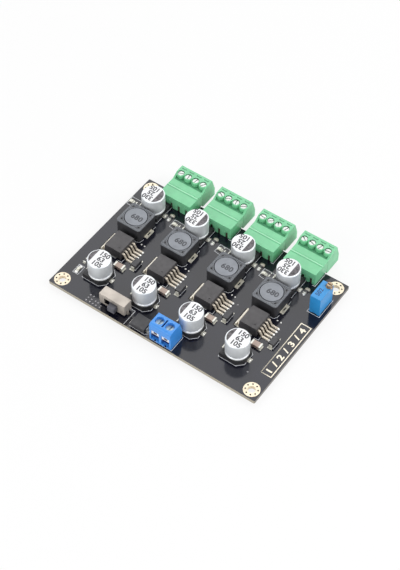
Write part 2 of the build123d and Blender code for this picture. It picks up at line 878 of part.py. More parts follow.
header_pin_end = header_front - header_pin_tip
with BuildPart() as header_pins:
    for x in [x for poles in pole_x for x in poles]:
        with BuildSketch(across(x - header_pin / 2)):
            with BuildLine():
                FilletPolyline(
                    (header_pin_y, -pin_tail),
                    (header_pin_y, pin_axis),
                    (header_pin_end, pin_axis),
                    radius=pin_bend,
                )
            trace(line_width=header_pin)
        extrude(amount=header_pin)
save(header_pins.part, "header_pins")

# Output plugs, each with its clamp screws and clamp cages
plug_floor = board_top + plug_bottom
plug_roof = board_top + plug_top
deck_floor = header_roof_z - header_recess + deck_gap
deck_roof = header_roof_z
nose_floor = cavity_floor + plug_fit
nose_roof = cavity_roof - plug_fit
nose_front = cavity_rear + plug_fit
nose_width = header_width - 2 * header_wall - 2 * plug_fit
cage_front = tower_y - cage_length / 2
cage_floor = board_top + cage_bottom
cage_roof = cage_floor + cage_height
head_top = plug_roof - clamp_screw_drop
screw_end = cage_roof - clamp_screw_in_cage


def plug_housing(poles):
    """The moulded body: nose, tongue in the header's roof, screw towers and a sloped back."""
    centre = sum(poles) / pole_count
    with BuildPart() as housing:
        with BuildSketch(across(centre)):
            with BuildLine():
                Polyline(
                    (plug_face, plug_floor),
                    (plug_rear, plug_floor),
                    (plug_rear, plug_roof - plug_chamfer_height),
                    (plug_rear - plug_chamfer_depth, plug_roof),
                    (tower_y, plug_roof),
                    (tower_y, deck_roof),
                    (deck_front, deck_roof),
                    (deck_front, deck_floor),
                    (plug_face, deck_floor),
                    close=True,
                )
            make_face()
        extrude(amount=header_width / 2, both=True)
        with BuildSketch(Plane.XY.offset(deck_roof)):
            with Locations([(x, tower_y) for x in poles]):
                Circle(tower_d / 2)
        extrude(amount=plug_roof - deck_roof - tower_edge)
        with BuildSketch(Plane.XY.offset(plug_roof - tower_edge)):
            with Locations([(x, tower_y) for x in poles]):
                Circle(tower_d / 2)
        extrude(amount=tower_edge, taper=tower_draft)
        for side in (-1, 1):
            with BuildSketch(across(centre + side * (header_width - end_wall) / 2)):
                with BuildLine():
                    Polyline(
                        (plug_face, deck_roof),
                        (plug_face + end_wall_run, plug_roof),
                        (tower_y + tower_d, plug_roof),
                        (tower_y + tower_d, deck_roof),
                        close=True,
                    )
                make_face()
            extrude(amount=end_wall / 2, both=True)
        with BuildSketch(across(centre)):
            with BuildLine():
                Polyline(
                    (nose_front, nose_floor),
                    (plug_face, nose_floor),
                    (plug_face, nose_roof),
                    (nose_front, nose_roof),
                    close=True,
                )
            make_face()
        extrude(amount=nose_width / 2, both=True)
        with BuildSketch(along(cage_front + cage_fit, 0, pin_axis)):
            with Locations([(x, 0) for x in poles]):
                Rectangle(socket_side, socket_side)
        extrude(amount=cage_front + cage_fit - nose_front, mode=Mode.SUBTRACT)
        with BuildSketch(along(cage_front + cage_length, 0, (cage_floor + cage_roof) / 2)):
            with Locations([(x, 0) for x in poles]):
                Rectangle(cage_width + 2 * cage_fit, cage_height + 2 * cage_fit)
        extrude(amount=cage_length, mode=Mode.SUBTRACT)
        entry_centre = cage_floor + cage_wall + wire_entry_height / 2
        with BuildSketch(along(plug_rear, 0, entry_centre)):
            with Locations([(x, 0) for x in poles]):
                Rectangle(wire_entry_width, wire_entry_height)
        extrude(amount=plug_rear - cage_front - cage_length, mode=Mode.SUBTRACT)
        with BuildSketch(Plane.XY.offset(cage_roof)):
            with Locations([(x, tower_y) for x in poles]):
                Circle(well_d / 2)
        extrude(amount=plug_roof - cage_roof, mode=Mode.SUBTRACT)
    return housing.part


def clamp_screws(poles):
    """Four slotted screws in the towers."""
    with BuildPart() as screws:
        with BuildSketch(Plane.XY.offset(head_top - clamp_screw_head)):
            with Locations([(x, tower_y) for x in poles]):
                Circle(clamp_screw_head_d / 2)
        extrude(amount=clamp_screw_head)
        with BuildSketch(Plane.XY.offset(screw_end)):
            with Locations([(x, tower_y) for x in poles]):
                Circle(clamp_screw_d / 2)
        extrude(amount=head_top - clamp_screw_head - screw_end)
        with BuildSketch(Plane.XY.offset(head_top - slot_depth)):
            with Locations([(x, tower_y) for x in poles]):
                Rectangle(clamp_screw_head_d, slot_width)
        extrude(amount=slot_depth, mode=Mode.SUBTRACT)
    return screws.part


def clamp_cages(poles):
    """Four clamp cages, open to the wire, each with two spring leaves that grip the header's pin."""
    with BuildPart() as cages:
        for x in poles:
            with BuildSketch(across(x - cage_width / 2)):
                with BuildLine():
                    Polyline(
                        (cage_front, cage_floor),
                        (cage_front + cage_length, cage_floor),
                        (cage_front + cage_length, cage_roof),
                        (cage_front, cage_roof),
                        close=True,
                    )
                make_face()
            extrude(amount=cage_width)
            with BuildSketch(along(cage_front + cage_length, x, (cage_floor + cage_roof) / 2)):
                Rectangle(cage_width - 2 * cage_wall, cage_height - 2 * cage_wall)
            extrude(amount=cage_length - cage_wall, mode=Mode.SUBTRACT)
            with BuildSketch(Plane.XY.offset(cage_roof - cage_wall)):
                with Locations((x, tower_y)):
                    Circle(clamp_screw_d / 2 + cage_fit)
            extrude(amount=cage_wall, mode=Mode.SUBTRACT)
            leaf = header_pin / 2 + contact_gap + contact_thickness / 2
            with BuildSketch(along(cage_front, x, pin_axis)):
                with GridLocations(1, 2 * leaf, 1, 2):
                    Rectangle(contact_width, contact_thickness)
            extrude(amount=contact_reach)
    return cages.part


for unit, poles in enumerate(pole_x):
    save(plug_housing(poles), f"plug_housing_{unit + 1}")
    save(clamp_screws(poles), f"plug_screws_{unit + 1}")
    save(clamp_cages(poles), f"plug_cages_{unit + 1}")

# Slide switch
switch_centre = switch_left + switch_length / 2
switch_mid_y = switch_front + switch_depth / 2
shell_height = switch_roof - switch_base
inner_length = switch_length - 2 * switch_sheet
window_x = switch_left + switch_window_from_left + switch_window_length / 2
window_z = board_top + switch_window_low + switch_window_height / 2
knob_x = window_x + switch_window_length / 2 - slide_clearance - knob_length / 2
wafer_front = switch_rear - wafer_inset - wafer_thickness

with BuildPart() as switch_shell:
    with BuildSketch(along(switch_rear, switch_centre, switch_base)):
        Rectangle(switch_length, shell_height, align=(Align.CENTER, Align.MIN))
    extrude(amount=switch_depth)
    with BuildSketch(along(switch_rear, switch_centre, switch_base)):
        Rectangle(inner_length, shell_height - switch_sheet, align=(Align.CENTER, Align.MIN))
    extrude(amount=switch_depth - switch_sheet, mode=Mode.SUBTRACT)
    with BuildSketch(along(switch_front + switch_sheet, window_x, window_z)):
        Rectangle(switch_window_length, switch_window_height)
    extrude(amount=switch_sheet, mode=Mode.SUBTRACT)
    with BuildSketch(across(switch_centre, switch_mid_y, switch_base)):
        Rectangle(end_notch_width, end_notch_height, align=(Align.CENTER, Align.MIN))
    extrude(amount=switch_length / 2, both=True, mode=Mode.SUBTRACT)
    with BuildSketch(Plane.XY.offset(-pin_tail)):
        with Locations(switch_leg_places):
            Rectangle(switch_sheet, switch_leg_width)
    extrude(amount=switch_base + end_notch_height + switch_sheet + pin_tail)
save(switch_shell.part, "switch_shell")

with BuildPart() as switch_wafer:
    with BuildSketch(along(wafer_front + wafer_thickness, switch_centre, switch_base)):
        Rectangle(inner_length, shell_height - switch_sheet, align=(Align.CENTER, Align.MIN))
    extrude(amount=wafer_thickness)
    with BuildSketch(along(wafer_front + wafer_thickness, switch_centre, board_top + switch_pin_height)):
        with GridLocations(switch_pin_pitch, 1, switch_pin_count, 1):
            Rectangle(switch_pin_width, switch_pin_thickness)
    extrude(amount=wafer_thickness, mode=Mode.SUBTRACT)
save(switch_wafer.part, "switch_wafer")

with BuildPart() as switch_pins:
    for x, y in switch_pin_places:
        with BuildSketch(across(x - switch_pin_width / 2)):
            with BuildLine():
                FilletPolyline(
                    (wafer_front, board_top + switch_pin_height),
                    (y, board_top + switch_pin_height),
                    (y, -pin_tail),
                    radius=switch_pin_thickness,
                )
            trace(line_width=switch_pin_thickness)
        extrude(amount=switch_pin_width)
save(switch_pins.part, "switch_pins")

carriage_front = switch_front + switch_sheet + slide_clearance
carriage_floor = switch_base + slide_clearance
carriage_height = shell_height - switch_sheet - 2 * slide_clearance
with BuildPart() as switch_slider:
    with BuildSketch(along(carriage_front + carriage_depth, knob_x, carriage_floor)):
        Rectangle(carriage_length, carriage_height, align=(Align.CENTER, Align.MIN))
    extrude(amount=carriage_depth)
    with BuildSketch(along(carriage_front, knob_x, window_z)):
        Rectangle(knob_length, knob_height)
    extrude(amount=carriage_front - switch_front + knob_reach)
    fillet(switch_slider.faces().sort_by(Axis.Y)[0].edges(), knob_round)
save(switch_slider.part, "switch_slider")

# Input screw terminal: an extruded profile with two wells, two windows and a groove between the poles
terminal_roof = board_top + terminal_height
window_floor = board_top + terminal_window_low
window_roof = window_floor + terminal_window_height
cage_top = window_roof
terminal_cage_floor = cage_top - terminal_cage_height
terminal_head_top = terminal_roof - terminal_screw_drop
terminal_head_floor = terminal_head_top - terminal_screw_head
terminal_screw_end = cage_top - terminal_cage_wall - terminal_screw_in_cage
terminal_cage_front = terminal_front + terminal_cage_inset
with BuildPart() as input_terminal_housing:
    with BuildSketch(across(terminal_x)):
        with BuildLine():
            back = terminal_front + terminal_depth
            brow = terminal_front + terminal_nose
            Line((brow, terminal_roof), (terminal_front + terminal_top_depth, terminal_roof))
            Line(
                (terminal_front + terminal_top_depth, terminal_roof),
                (back, board_top + terminal_waist_height),
            )
            Polyline(
                (back, board_top + terminal_waist_height),
                (back, board_top),
                (terminal_front, board_top),
                (terminal_front, terminal_roof - terminal_nose),
            )
            RadiusArc((terminal_front, terminal_roof - terminal_nose), (brow, terminal_roof), terminal_nose)
        make_face()
    extrude(amount=terminal_width / 2, both=True)
    with BuildSketch(Plane.XY.offset(terminal_roof - terminal_groove_depth)):
        with Locations((terminal_x, terminal_well_y)):
            Rectangle(terminal_groove_width, terminal_groove_length)
    extrude(amount=terminal_groove_depth, mode=Mode.SUBTRACT)
    with BuildSketch(Plane.XY.offset(terminal_roof - terminal_well_depth)):
        with Locations([(x, terminal_well_y) for x in terminal_poles]):
            Circle(terminal_well_d / 2)
    extrude(amount=terminal_well_depth, mode=Mode.SUBTRACT)
    with BuildSketch(along(terminal_front + terminal_window_depth, 0, window_floor)):
        with Locations([(x, 0) for x in terminal_poles]):
            Rectangle(
                terminal_window_width, terminal_window_height, align=(Align.CENTER, Align.MIN)
            )
    extrude(amount=terminal_window_depth, mode=Mode.SUBTRACT)
    with BuildSketch(along(terminal_front + terminal_window_low, 0, board_top)):
        with Locations([(x, 0) for x in terminal_poles]):
            Rectangle(terminal_notch_width, terminal_window_low, align=(Align.CENTER, Align.MIN))
    extrude(amount=terminal_window_low, mode=Mode.SUBTRACT)
    with BuildSketch(Plane.XY.offset(window_roof)):
        with Locations([(x, terminal_well_y) for x in terminal_poles]):
            Circle(terminal_screw_d / 2 + turning_clearance)
    extrude(amount=terminal_head_floor - window_roof, mode=Mode.SUBTRACT)
    with BuildSketch(Plane.XY.offset(board_top)):
        with Locations([(x, terminal_well_y) for x in terminal_poles]):
            Rectangle(terminal_pin, terminal_pin)
    extrude(amount=terminal_window_low, mode=Mode.SUBTRACT)
save(input_terminal_housing.part, "input_terminal_housing")

with BuildPart() as input_terminal_screws:
    with BuildSketch(Plane.XY.offset(terminal_head_floor)):
        with Locations([(x, terminal_well_y) for x in terminal_poles]):
            Circle(terminal_screw_head_d / 2)
    extrude(amount=terminal_screw_head)
    with BuildSketch(Plane.XY.offset(terminal_screw_end)):
        with Locations([(x, terminal_well_y) for x in terminal_poles]):
            Circle(terminal_screw_d / 2)
    extrude(amount=terminal_head_floor - terminal_screw_end)
    with BuildSketch(Plane.XY.offset(terminal_head_top - slot_depth)):
        with Locations([(x, terminal_well_y) for x in terminal_poles]):
            Rectangle(terminal_slot_width, terminal_screw_head_d)
    extrude(amount=slot_depth, mode=Mode.SUBTRACT)
save(input_terminal_screws.part, "input_terminal_screws")

with BuildPart() as input_terminal_cages:
    with BuildSketch(along(terminal_cage_front + terminal_cage_length, 0, terminal_cage_floor)):
        with Locations([(x, 0) for x in terminal_poles]):
            Rectangle(terminal_cage_width, terminal_cage_height, align=(Align.CENTER, Align.MIN))
        with Locations([(x, terminal_cage_wall) for x in terminal_poles]):
            Rectangle(
                terminal_cage_width - 2 * terminal_cage_wall,
                terminal_cage_height - 2 * terminal_cage_wall,
                align=(Align.CENTER, Align.MIN),
                mode=Mode.SUBTRACT,
            )
    extrude(amount=terminal_cage_length)
    with BuildSketch(Plane.XY.offset(cage_top - terminal_cage_wall)):
        with Locations([(x, terminal_well_y) for x in terminal_poles]):
            Circle(terminal_screw_d / 2 + turning_clearance)
    extrude(amount=terminal_cage_wall, mode=Mode.SUBTRACT)
save(input_terminal_cages.part, "input_terminal_cages")

with BuildPart() as input_terminal_pins:
    with BuildSketch(Plane.XY.offset(-pin_tail)):
        with Locations([(x, terminal_well_y) for x in terminal_poles]):
            Rectangle(terminal_pin, terminal_pin)
    extrude(amount=terminal_cage_floor + pin_tail)
save(input_terminal_pins.part, "input_terminal_pins")

# Multi-turn trimmer with its screw in a notch at one corner
with BuildPart() as trimmer_housing:
    with BuildSketch(Plane.XY.offset(board_top)):
        with Locations((trimmer_x, trimmer_y)):
            with GridLocations(
                trimmer_width - trimmer_standoff_side, trimmer_length - trimmer_standoff_side, 2, 2
            ):
                Rectangle(trimmer_standoff_side, trimmer_standoff_side)
    extrude(amount=trimmer_standoff)
    with BuildSketch(Plane.XY.offset(board_top + trimmer_standoff)):
        with Locations((trimmer_x, trimmer_y)):
            Rectangle(trimmer_width, trimmer_length)
    extrude(amount=trimmer_height - trimmer_standoff)
    with BuildSketch(Plane.XY.offset(notch_floor)):
        with Locations((trimmer_screw_x, trimmer_screw_y)):
            Circle(trimmer_notch_d / 2)
    extrude(amount=trimmer_notch_depth, mode=Mode.SUBTRACT)
    with BuildSketch(Plane.XY.offset(notch_floor - trimmer_stem_length - turning_clearance)):
        with Locations((trimmer_screw_x, trimmer_screw_y)):
            Circle(trimmer_stem_d / 2 + turning_clearance)
    extrude(amount=trimmer_stem_length + turning_clearance, mode=Mode.SUBTRACT)
save(trimmer_housing.part, "trimmer_housing")

with BuildPart() as trimmer_screw:
    with BuildSketch(Plane.XY.offset(notch_floor - trimmer_stem_length)):
        with Locations((trimmer_screw_x, trimmer_screw_y)):
            Circle(trimmer_stem_d / 2)
    extrude(amount=trimmer_stem_length + turning_clearance)
    with BuildSketch(Plane.XY.offset(notch_floor + turning_clearance)):
        with Locations((trimmer_screw_x, trimmer_screw_y)):
            Circle(trimmer_screw_d / 2)
    extrude(amount=trimmer_top + trimmer_screw_rise - notch_floor - turning_clearance)
    with BuildSketch(Plane.XY.offset(trimmer_top + trimmer_screw_rise - slot_depth)):
        with Locations((trimmer_screw_x, trimmer_screw_y)):
            Rectangle(trimmer_screw_d, slot_width)
    extrude(amount=slot_depth, mode=Mode.SUBTRACT)
save(trimmer_screw.part, "trimmer_screw")

with BuildPart() as trimmer_pins:
    with BuildSketch(Plane.XY.offset(-pin_tail)):
        with Locations(trimmer_pin_places):
            Circle(trimmer_pin / 2)
    extrude(amount=board_top + trimmer_standoff + pin_tail)
save(trimmer_pins.part, "trimmer_pins")
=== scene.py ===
"""Buck converter module: surfaces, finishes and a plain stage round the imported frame."""

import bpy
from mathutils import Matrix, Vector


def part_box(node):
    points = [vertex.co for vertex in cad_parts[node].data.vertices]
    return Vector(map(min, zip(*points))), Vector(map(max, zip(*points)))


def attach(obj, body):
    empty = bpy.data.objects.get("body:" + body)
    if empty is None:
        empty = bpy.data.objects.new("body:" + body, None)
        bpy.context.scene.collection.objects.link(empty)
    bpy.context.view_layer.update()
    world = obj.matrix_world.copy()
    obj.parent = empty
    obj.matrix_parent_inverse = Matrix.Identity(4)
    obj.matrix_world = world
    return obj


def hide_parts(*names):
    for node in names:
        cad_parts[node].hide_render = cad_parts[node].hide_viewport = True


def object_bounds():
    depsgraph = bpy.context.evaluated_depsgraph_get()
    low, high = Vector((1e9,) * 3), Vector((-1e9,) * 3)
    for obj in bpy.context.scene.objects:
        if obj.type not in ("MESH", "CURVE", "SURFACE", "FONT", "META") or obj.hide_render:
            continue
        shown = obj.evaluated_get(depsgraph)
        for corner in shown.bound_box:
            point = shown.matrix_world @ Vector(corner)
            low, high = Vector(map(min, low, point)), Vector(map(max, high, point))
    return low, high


bl_info = {
    "name": "Buck Converter Module",
    "version": (1, 0, 0),
    "blender": (4, 5, 0),
    "location": "View3D > Sidebar > Converter",
    "description": "Dresses a four-channel step-down converter board and sets its studio stage",
    "category": "Object",
}

import math

import bmesh
import bpy
import numpy as np
from mathutils import Matrix, Vector

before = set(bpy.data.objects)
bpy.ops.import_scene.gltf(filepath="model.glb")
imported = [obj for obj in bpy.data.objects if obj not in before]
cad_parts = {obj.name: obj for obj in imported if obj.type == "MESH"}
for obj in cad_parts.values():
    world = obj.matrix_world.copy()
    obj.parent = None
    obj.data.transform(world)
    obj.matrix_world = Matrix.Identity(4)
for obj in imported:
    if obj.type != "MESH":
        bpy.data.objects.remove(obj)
CAD_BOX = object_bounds()

MM = 0.001
CHANNELS = (1, 2, 3, 4)
SHARP = math.radians(32)
SAME_POINT = 1e-7
FIGURE_SHARE = 0.73
WHITE = (1.0, 1.0, 1.0, 1.0)
UPRIGHT_LINES = (1.0, 1.0, 0.06)

# Lengths in millimetres, as in all surfaces below
POLE_PITCH = 3.81
LEAD_PITCH = 1.7
BOARD_TOP = 1.6
PAD_TOP = 1.65
PRINT_THICKNESS = 0.02
BEAD_DEPTH = 0.45
BEAD_HEIGHT = 1.15
FOOT_ROUND = 0.3


def screen(red, green, blue):
    """A colour as it shows on a screen, 0 to 255, turned into Blender's linear values."""
    value = np.array((red, green, blue)) / 255
    linear = np.where(value <= 0.04045, value / 12.92, ((value + 0.055) / 1.055) ** 2.4)
    return tuple(float(part) for part in linear)


def corners(node):
    """A CAD node's lowest corner, highest corner and middle, in millimetres."""
    low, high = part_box(node)
    low, high = np.array(low) / MM, np.array(high) / MM
    return low, high, (low + high) / 2


BOARD_LOW = corners("circuit_board")[0]


def on_board(x, y):
    """A place given from the board's left and front edges, in the frame."""
    return np.array((BOARD_LOW[0] + x, BOARD_LOW[1] + y))


def clamp_places(channel):
    """The middles of an output plug's four clamp screws, seen from above."""
    low, high, middle = corners(f"plug_screws_{channel}")
    first = low[0] + (high[0] - low[0] - 3 * POLE_PITCH) / 2
    return [(first + pole * POLE_PITCH, middle[1]) for pole in range(4)]


def each(kind):
    """The names of the four channels' own nodes of a kind."""
    return [f"{kind}_{channel}" for channel in CHANNELS]


# Properties


def colour(name, words, default):
    return bpy.props.FloatVectorProperty(
        name=name, description=words, subtype="COLOR", size=3, min=0.0, max=1.0, default=screen(*default)
    )


def length(name, words, default):
    return bpy.props.FloatProperty(
        name=name, description=words, subtype="DISTANCE", unit="LENGTH", default=default
    )


class ConverterColours(bpy.types.PropertyGroup):
    """Colours of the main finishes."""

    board: colour("Solder mask", "Colour of the board's mask", (19, 20, 33))
    terminal: colour("Output terminals", "Green of the headers and plugs", (120, 199, 150))
    input_terminal: colour("Input terminal", "Blue of the input terminal", (60, 142, 224))
    trimmer: colour("Trimmer", "Blue of the trimmer", (44, 142, 208))
    can: colour("Capacitor can", "Colour of the drawn cans", (228, 232, 235))
    ferrite: colour("Inductor", "Colour of the inductor's sleeve", (50, 50, 53))
    core: colour("Inductor core", "Colour of the inductor's core", (136, 140, 147))
    mould: colour("Moulded parts", "Colour of regulators and diodes", (66, 64, 66))
    print: colour("Print", "Colour of the board's white print", (226, 228, 232))


class ConverterSizes(bpy.types.PropertyGroup):
    """Sizes that a user would change."""

    print_width: length("Print line", "Width of the board's printed lines", 0.2 * MM)
    can_print: length("Can figures", "Height of the figures on the cans", 2.3 * MM)
    core_print: length("Inductor figures", "Height of the figures on the inductors", 2.5 * MM)
    edge_round: length("Edge rounding", "Radius that softens the moulded edges", 0.22 * MM)


# Surfaces: each is a pair of points, in millimetres, and faces


def grid_faces(rows, columns, around=False):
    """Four-sided faces of a grid of points kept row by row; around joins the last column to the first."""
    row, column = np.mgrid[:rows - 1, :columns if around else columns - 1]
    start = row * columns
    across = (column + 1) % columns
    faces = [start + column, start + across, start + columns + across, start + columns + column]
    return np.stack(faces, axis=-1).reshape(-1, 4).tolist()


def tube_faces(rows, columns):
    """Faces of a tube of rings, with one face over each end."""
    ends = [list(range(columns))[::-1], list(range((rows - 1) * columns, rows * columns))]
    return grid_faces(rows, columns, around=True) + ends


def revolved(profile, centre=(0.0, 0.0), turns=96):
    """A surface of revolution: each profile point (r, z) goes round the upright axis through centre, so
    a point is (centre x + r cos t, centre y + r sin t, z) with t from 0 to a full turn."""
    profile = np.array(profile, float)
    angle = np.linspace(0, 2 * np.pi, turns, endpoint=False)
    x = centre[0] + np.outer(profile[:, 0], np.cos(angle))
    y = centre[1] + np.outer(profile[:, 0], np.sin(angle))
    z = np.repeat(profile[:, 1:], turns, axis=1)
    return np.stack([x, y, z], axis=-1).reshape(-1, 3), grid_faces(len(profile), turns, around=True)


def carried(path, side, up, section):
    """A closed section carried along a path: point = path + side * section x + up * section y."""
    path, side, up = (np.atleast_2d(np.array(part, float))[:, None] for part in (path, side, up))
    section = np.array(section, float)
    points = path + side * section[:, :1] + up * section[:, 1:]
    return points.reshape(-1, 3), tube_faces(*points.shape[:2])


def ribbon(points, width, low, high, closed=False):
    """A flat line of print: a rectangle carried along a level path. At each corner it is widened by one
    over the cosine of half the turn, so that the line keeps its width."""
    path = np.array(points, float)
    if closed:
        path = np.vstack([path, path[:1]])
    step = np.diff(path, axis=0)
    step /= np.linalg.norm(step, axis=1, keepdims=True)
    before = np.vstack([step[-1:] if closed else step[:1], step])
    after = np.vstack([step, step[:1] if closed else step[-1:]])
    mean = before + after
    mean /= np.linalg.norm(mean, axis=1, keepdims=True)
    widen = 1 / np.clip((mean * after).sum(1), 0.5, 1.0)
    flat = np.zeros(len(path))
    across = np.column_stack([mean[:, 1], -mean[:, 0], flat]) * widen[:, None]
    half = width / 2
    section = [(-half, low), (half, low), (half, high), (-half, high)]
    return carried(np.column_stack([path, flat]), across, (0, 0, 1), section)


def slab(outline, low, high):
    """An upright prism over an outline that runs anticlockwise."""
    heights = np.repeat([low, high], len(outline))
    return np.column_stack([np.vstack([outline, outline]), heights]), tube_faces(2, len(outline))


def box(low, high):
    """A box by its lowest and highest corner."""
    return slab([(low[0], low[1]), (high[0], low[1]), (high[0], high[1]), (low[0], high[1])], low[2], high[2])


def pillow(centre, half, squareness):
    """A rounded block, the surface |x/a|^n + |y/b|^n + |z/c|^n = 1 drawn by two angles: each of the
    sphere's coordinates is raised to the power 2/n and keeps its sign."""
    rows, columns = 9, 20
    rise, turn = np.meshgrid(np.linspace(-np.pi / 2, np.pi / 2, rows),
                             np.linspace(0, 2 * np.pi, columns, endpoint=False), indexing="ij")
    ball = np.stack([np.cos(rise), np.cos(rise), np.sin(rise)], axis=-1)
    level = np.stack([np.cos(turn), np.sin(turn), np.ones_like(turn)], axis=-1)
    power = 2 / squareness
    ball = np.sign(ball) * np.abs(ball) ** power * np.sign(level) * np.abs(level) ** power
    return (np.array(centre) + ball * np.array(half)).reshape(-1, 3), grid_faces(rows, columns, around=True)


def arc(centre, radius, start, end, steps=6):
    """Points of a circular arc in a profile, by angles in degrees."""
    angle = np.radians(np.linspace(start, end, steps))
    return np.column_stack([centre[0] + radius * np.cos(angle), centre[1] + radius * np.sin(angle)])


def circle(radius, sides):
    """The outline of a disc round the origin."""
    return arc((0, 0), radius, 0, 360, sides + 1)[:-1]


def joined(shells):
    """Several surfaces as one."""
    starts = np.cumsum([0] + [len(points) for points, faces in shells]).tolist()
    faces = [[index + start for index in face] for start, shell in zip(starts, shells) for face in shell[1]]
    return np.concatenate([points for points, faces in shells]), faces


def repeated(shell, places):
    """The same surface at each place."""
    return joined([(shell[0] + np.array((*place, 0.0)[:3]), shell[1]) for place in places])


def words(text, height, centre, turn=0.0, low=0.0, thickness=PRINT_THICKNESS, spread=1.0, leading=1.0,
          bold=0.018, run=None):
    """Figures as solid print: the built-in font's outlines, made bolder, centred, turned and raised. A
    figure's height is FIGURE_SHARE of the font's size, and run is the length that all are stretched to."""
    curve = bpy.data.curves.new("figures", "FONT")
    curve.body = text
    curve.size = height / FIGURE_SHARE
    curve.align_x = "CENTER"
    curve.align_y = "CENTER"
    curve.space_line = leading
    curve.space_character = spread
    curve.offset = bold * curve.size
    curve.extrude = thickness / 2
    curve.resolution_u = 4
    holder = bpy.data.objects.new("figures", curve)
    bpy.context.scene.collection.objects.link(holder)
    bpy.context.view_layer.update()
    mesh = bpy.data.meshes.new_from_object(holder.evaluated_get(bpy.context.evaluated_depsgraph_get()))
    flat = np.zeros(len(mesh.vertices) * 3)
    mesh.vertices.foreach_get("co", flat)
    points = flat.reshape(-1, 3)
    faces = [list(polygon.vertices) for polygon in mesh.polygons]
    bpy.data.objects.remove(holder)
    bpy.data.curves.remove(curve)
    bpy.data.meshes.remove(mesh)
    middle = (points.max(0) + points.min(0)) / 2
    points = points - (middle[0], middle[1], 0)
    if run:
        points = points * (run / np.ptp(points[:, 0]), 1, 1)
    cos, sin = math.cos(turn), math.sin(turn)
    turned = points @ np.array(((cos, sin, 0), (-sin, cos, 0), (0, 0, 1)))
    return turned + np.array((centre[0], centre[1], low + thickness / 2)), faces


def make_piece(name, shells, finish, body="board", stands_for=()):
    """One object from several surfaces. Points that meet are merged, which closes seams and poles."""
    points, faces = joined(shells)
    mesh = bpy.data.meshes.new(name)
    mesh.from_pydata((points * MM).tolist(), [], faces)
    work = bmesh.new()
    work.from_mesh(mesh)
    bmesh.ops.remove_doubles(work, verts=work.verts, dist=SAME_POINT)
    work.to_mesh(mesh)
    work.free()
    mesh.shade_smooth()
    mesh.set_sharp_from_angle(angle=SHARP)
    piece = bpy.data.objects.new(name, mesh)
    bpy.context.scene.collection.objects.link(piece)
    mesh.materials.append(finish)
    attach(piece, body)
    if stands_for:
        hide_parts(*stands_for)


def dress(finish, *nodes):
    """Puts a finish in the CAD nodes' material slots."""
    for node in nodes:
        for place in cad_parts[node].material_slots:
            place.material = finish


# Shader groups


def add(tree, kind, inputs=(), **settings):
    """A shader node with its settings. Each input is given a value, or joined to a socket."""
    made = tree.nodes.new(f"ShaderNode{kind}")
    for setting, value in settings.items():
        setattr(made, setting, value)
    for place, value in dict(inputs).items():
        if isinstance(value, bpy.types.NodeSocket):
            tree.links.new(value, made.inputs[place])
        else:
            made.inputs[place].default_value = value
    return made


def reckoned(tree, operation, first, second=0.0):
    """Two values, each a number or a socket, through one operation."""
    return add(tree, "Math", {0: first, 1: second}, operation=operation).outputs[0]


def noise(tree, vector, scale, detail=3.0, factor=1.0):
    """A noise whose scale comes from a socket, times factor, or is a number."""
    scale = scale if isinstance(scale, float) else reckoned(tree, "MULTIPLY", scale, factor)
    texture = add(tree, "TexNoise", {"Vector": vector, "Scale": scale, "Detail": detail, "Roughness": 0.55})
    return texture.outputs["Fac"]


def ramped(tree, value, low, high, to_low=0.0, to_high=1.0):
    """A value spread from one range to another; each end of the new range is a number or a socket."""
    ends = {"Value": value, "From Min": low, "From Max": high, "To Min": to_low, "To Max": to_high}
    return add(tree, "MapRange", ends).outputs["Result"]


def start_group(name, inputs, outputs):
    """A shader group with named sockets; returns it with the values it is given and those it puts out."""
    tree = bpy.data.node_groups.new(name, "ShaderNodeTree")
    for label, kind, value in inputs:
        socket = tree.interface.new_socket(name=label, in_out="INPUT", socket_type=kind)
        if value is not None:
            socket.default_value = value
    for label in outputs:
        tree.interface.new_socket(name=label, in_out="OUTPUT", socket_type="NodeSocketFloat")
    return tree, tree.nodes.new("NodeGroupInput").outputs, tree.nodes.new("NodeGroupOutput").inputs


COMMON_INPUTS = [
    ("Vector", "NodeSocketVector", None),
    ("Scale", "NodeSocketFloat", 2000.0),
    ("Mottle", "NodeSocketFloat", 0.1),
]
COMMON_OUTPUTS = ("Height", "Shade", "Gloss")


def end_group(tree, given, out, height, wide=0.06):
    """Joins the fine height, a broad shade round one and a patchy gloss to a group's outputs."""
    vector, scale, mottle = given["Vector"], given["Scale"], given["Mottle"]
    darkest = reckoned(tree, "SUBTRACT", 1.0, mottle)
    lightest = reckoned(tree, "ADD", 1.0, mottle)
    shade = ramped(tree, noise(tree, vector, scale, 2.0, wide), 0.3, 0.7, darkest, lightest)
    gloss = ramped(tree, noise(tree, vector, scale, 4.0, wide * 2.3), 0.35, 0.65)
    for label, value in zip(COMMON_OUTPUTS, (height, shade, gloss)):
        tree.links.new(value, out[label])
    return tree


def moulded_grain():
    """Fine eroded texture of moulded plastic."""
    tree, given, out = start_group("moulded grain", COMMON_INPUTS, COMMON_OUTPUTS)
    return end_group(tree, given, out, noise(tree, given["Vector"], given["Scale"]))


def drawn_metal():
    """Fine lines along the direction in which the metal was drawn, by a stretched noise."""
    inputs = COMMON_INPUTS + [("Stretch", "NodeSocketVector", (1.0, 1.0, 0.05))]
    tree, given, out = start_group("drawn metal", inputs, COMMON_OUTPUTS)
    stretched = add(tree, "VectorMath", {0: given["Vector"], 1: given["Stretch"]}, operation="MULTIPLY")
    return end_group(tree, given, out, noise(tree, stretched.outputs[0], given["Scale"], 2.0))


def solder_skin():
    """Soft dimples of reflowed solder, from the distance to scattered cells."""
    tree, given, out = start_group("solder skin", COMMON_INPUTS, COMMON_OUTPUTS)
    cells = add(tree, "TexVoronoi", {"Vector": given["Vector"], "Scale": given["Scale"]}, feature="SMOOTH_F1")
    return end_group(tree, given, out, cells.outputs["Distance"], wide=0.25)


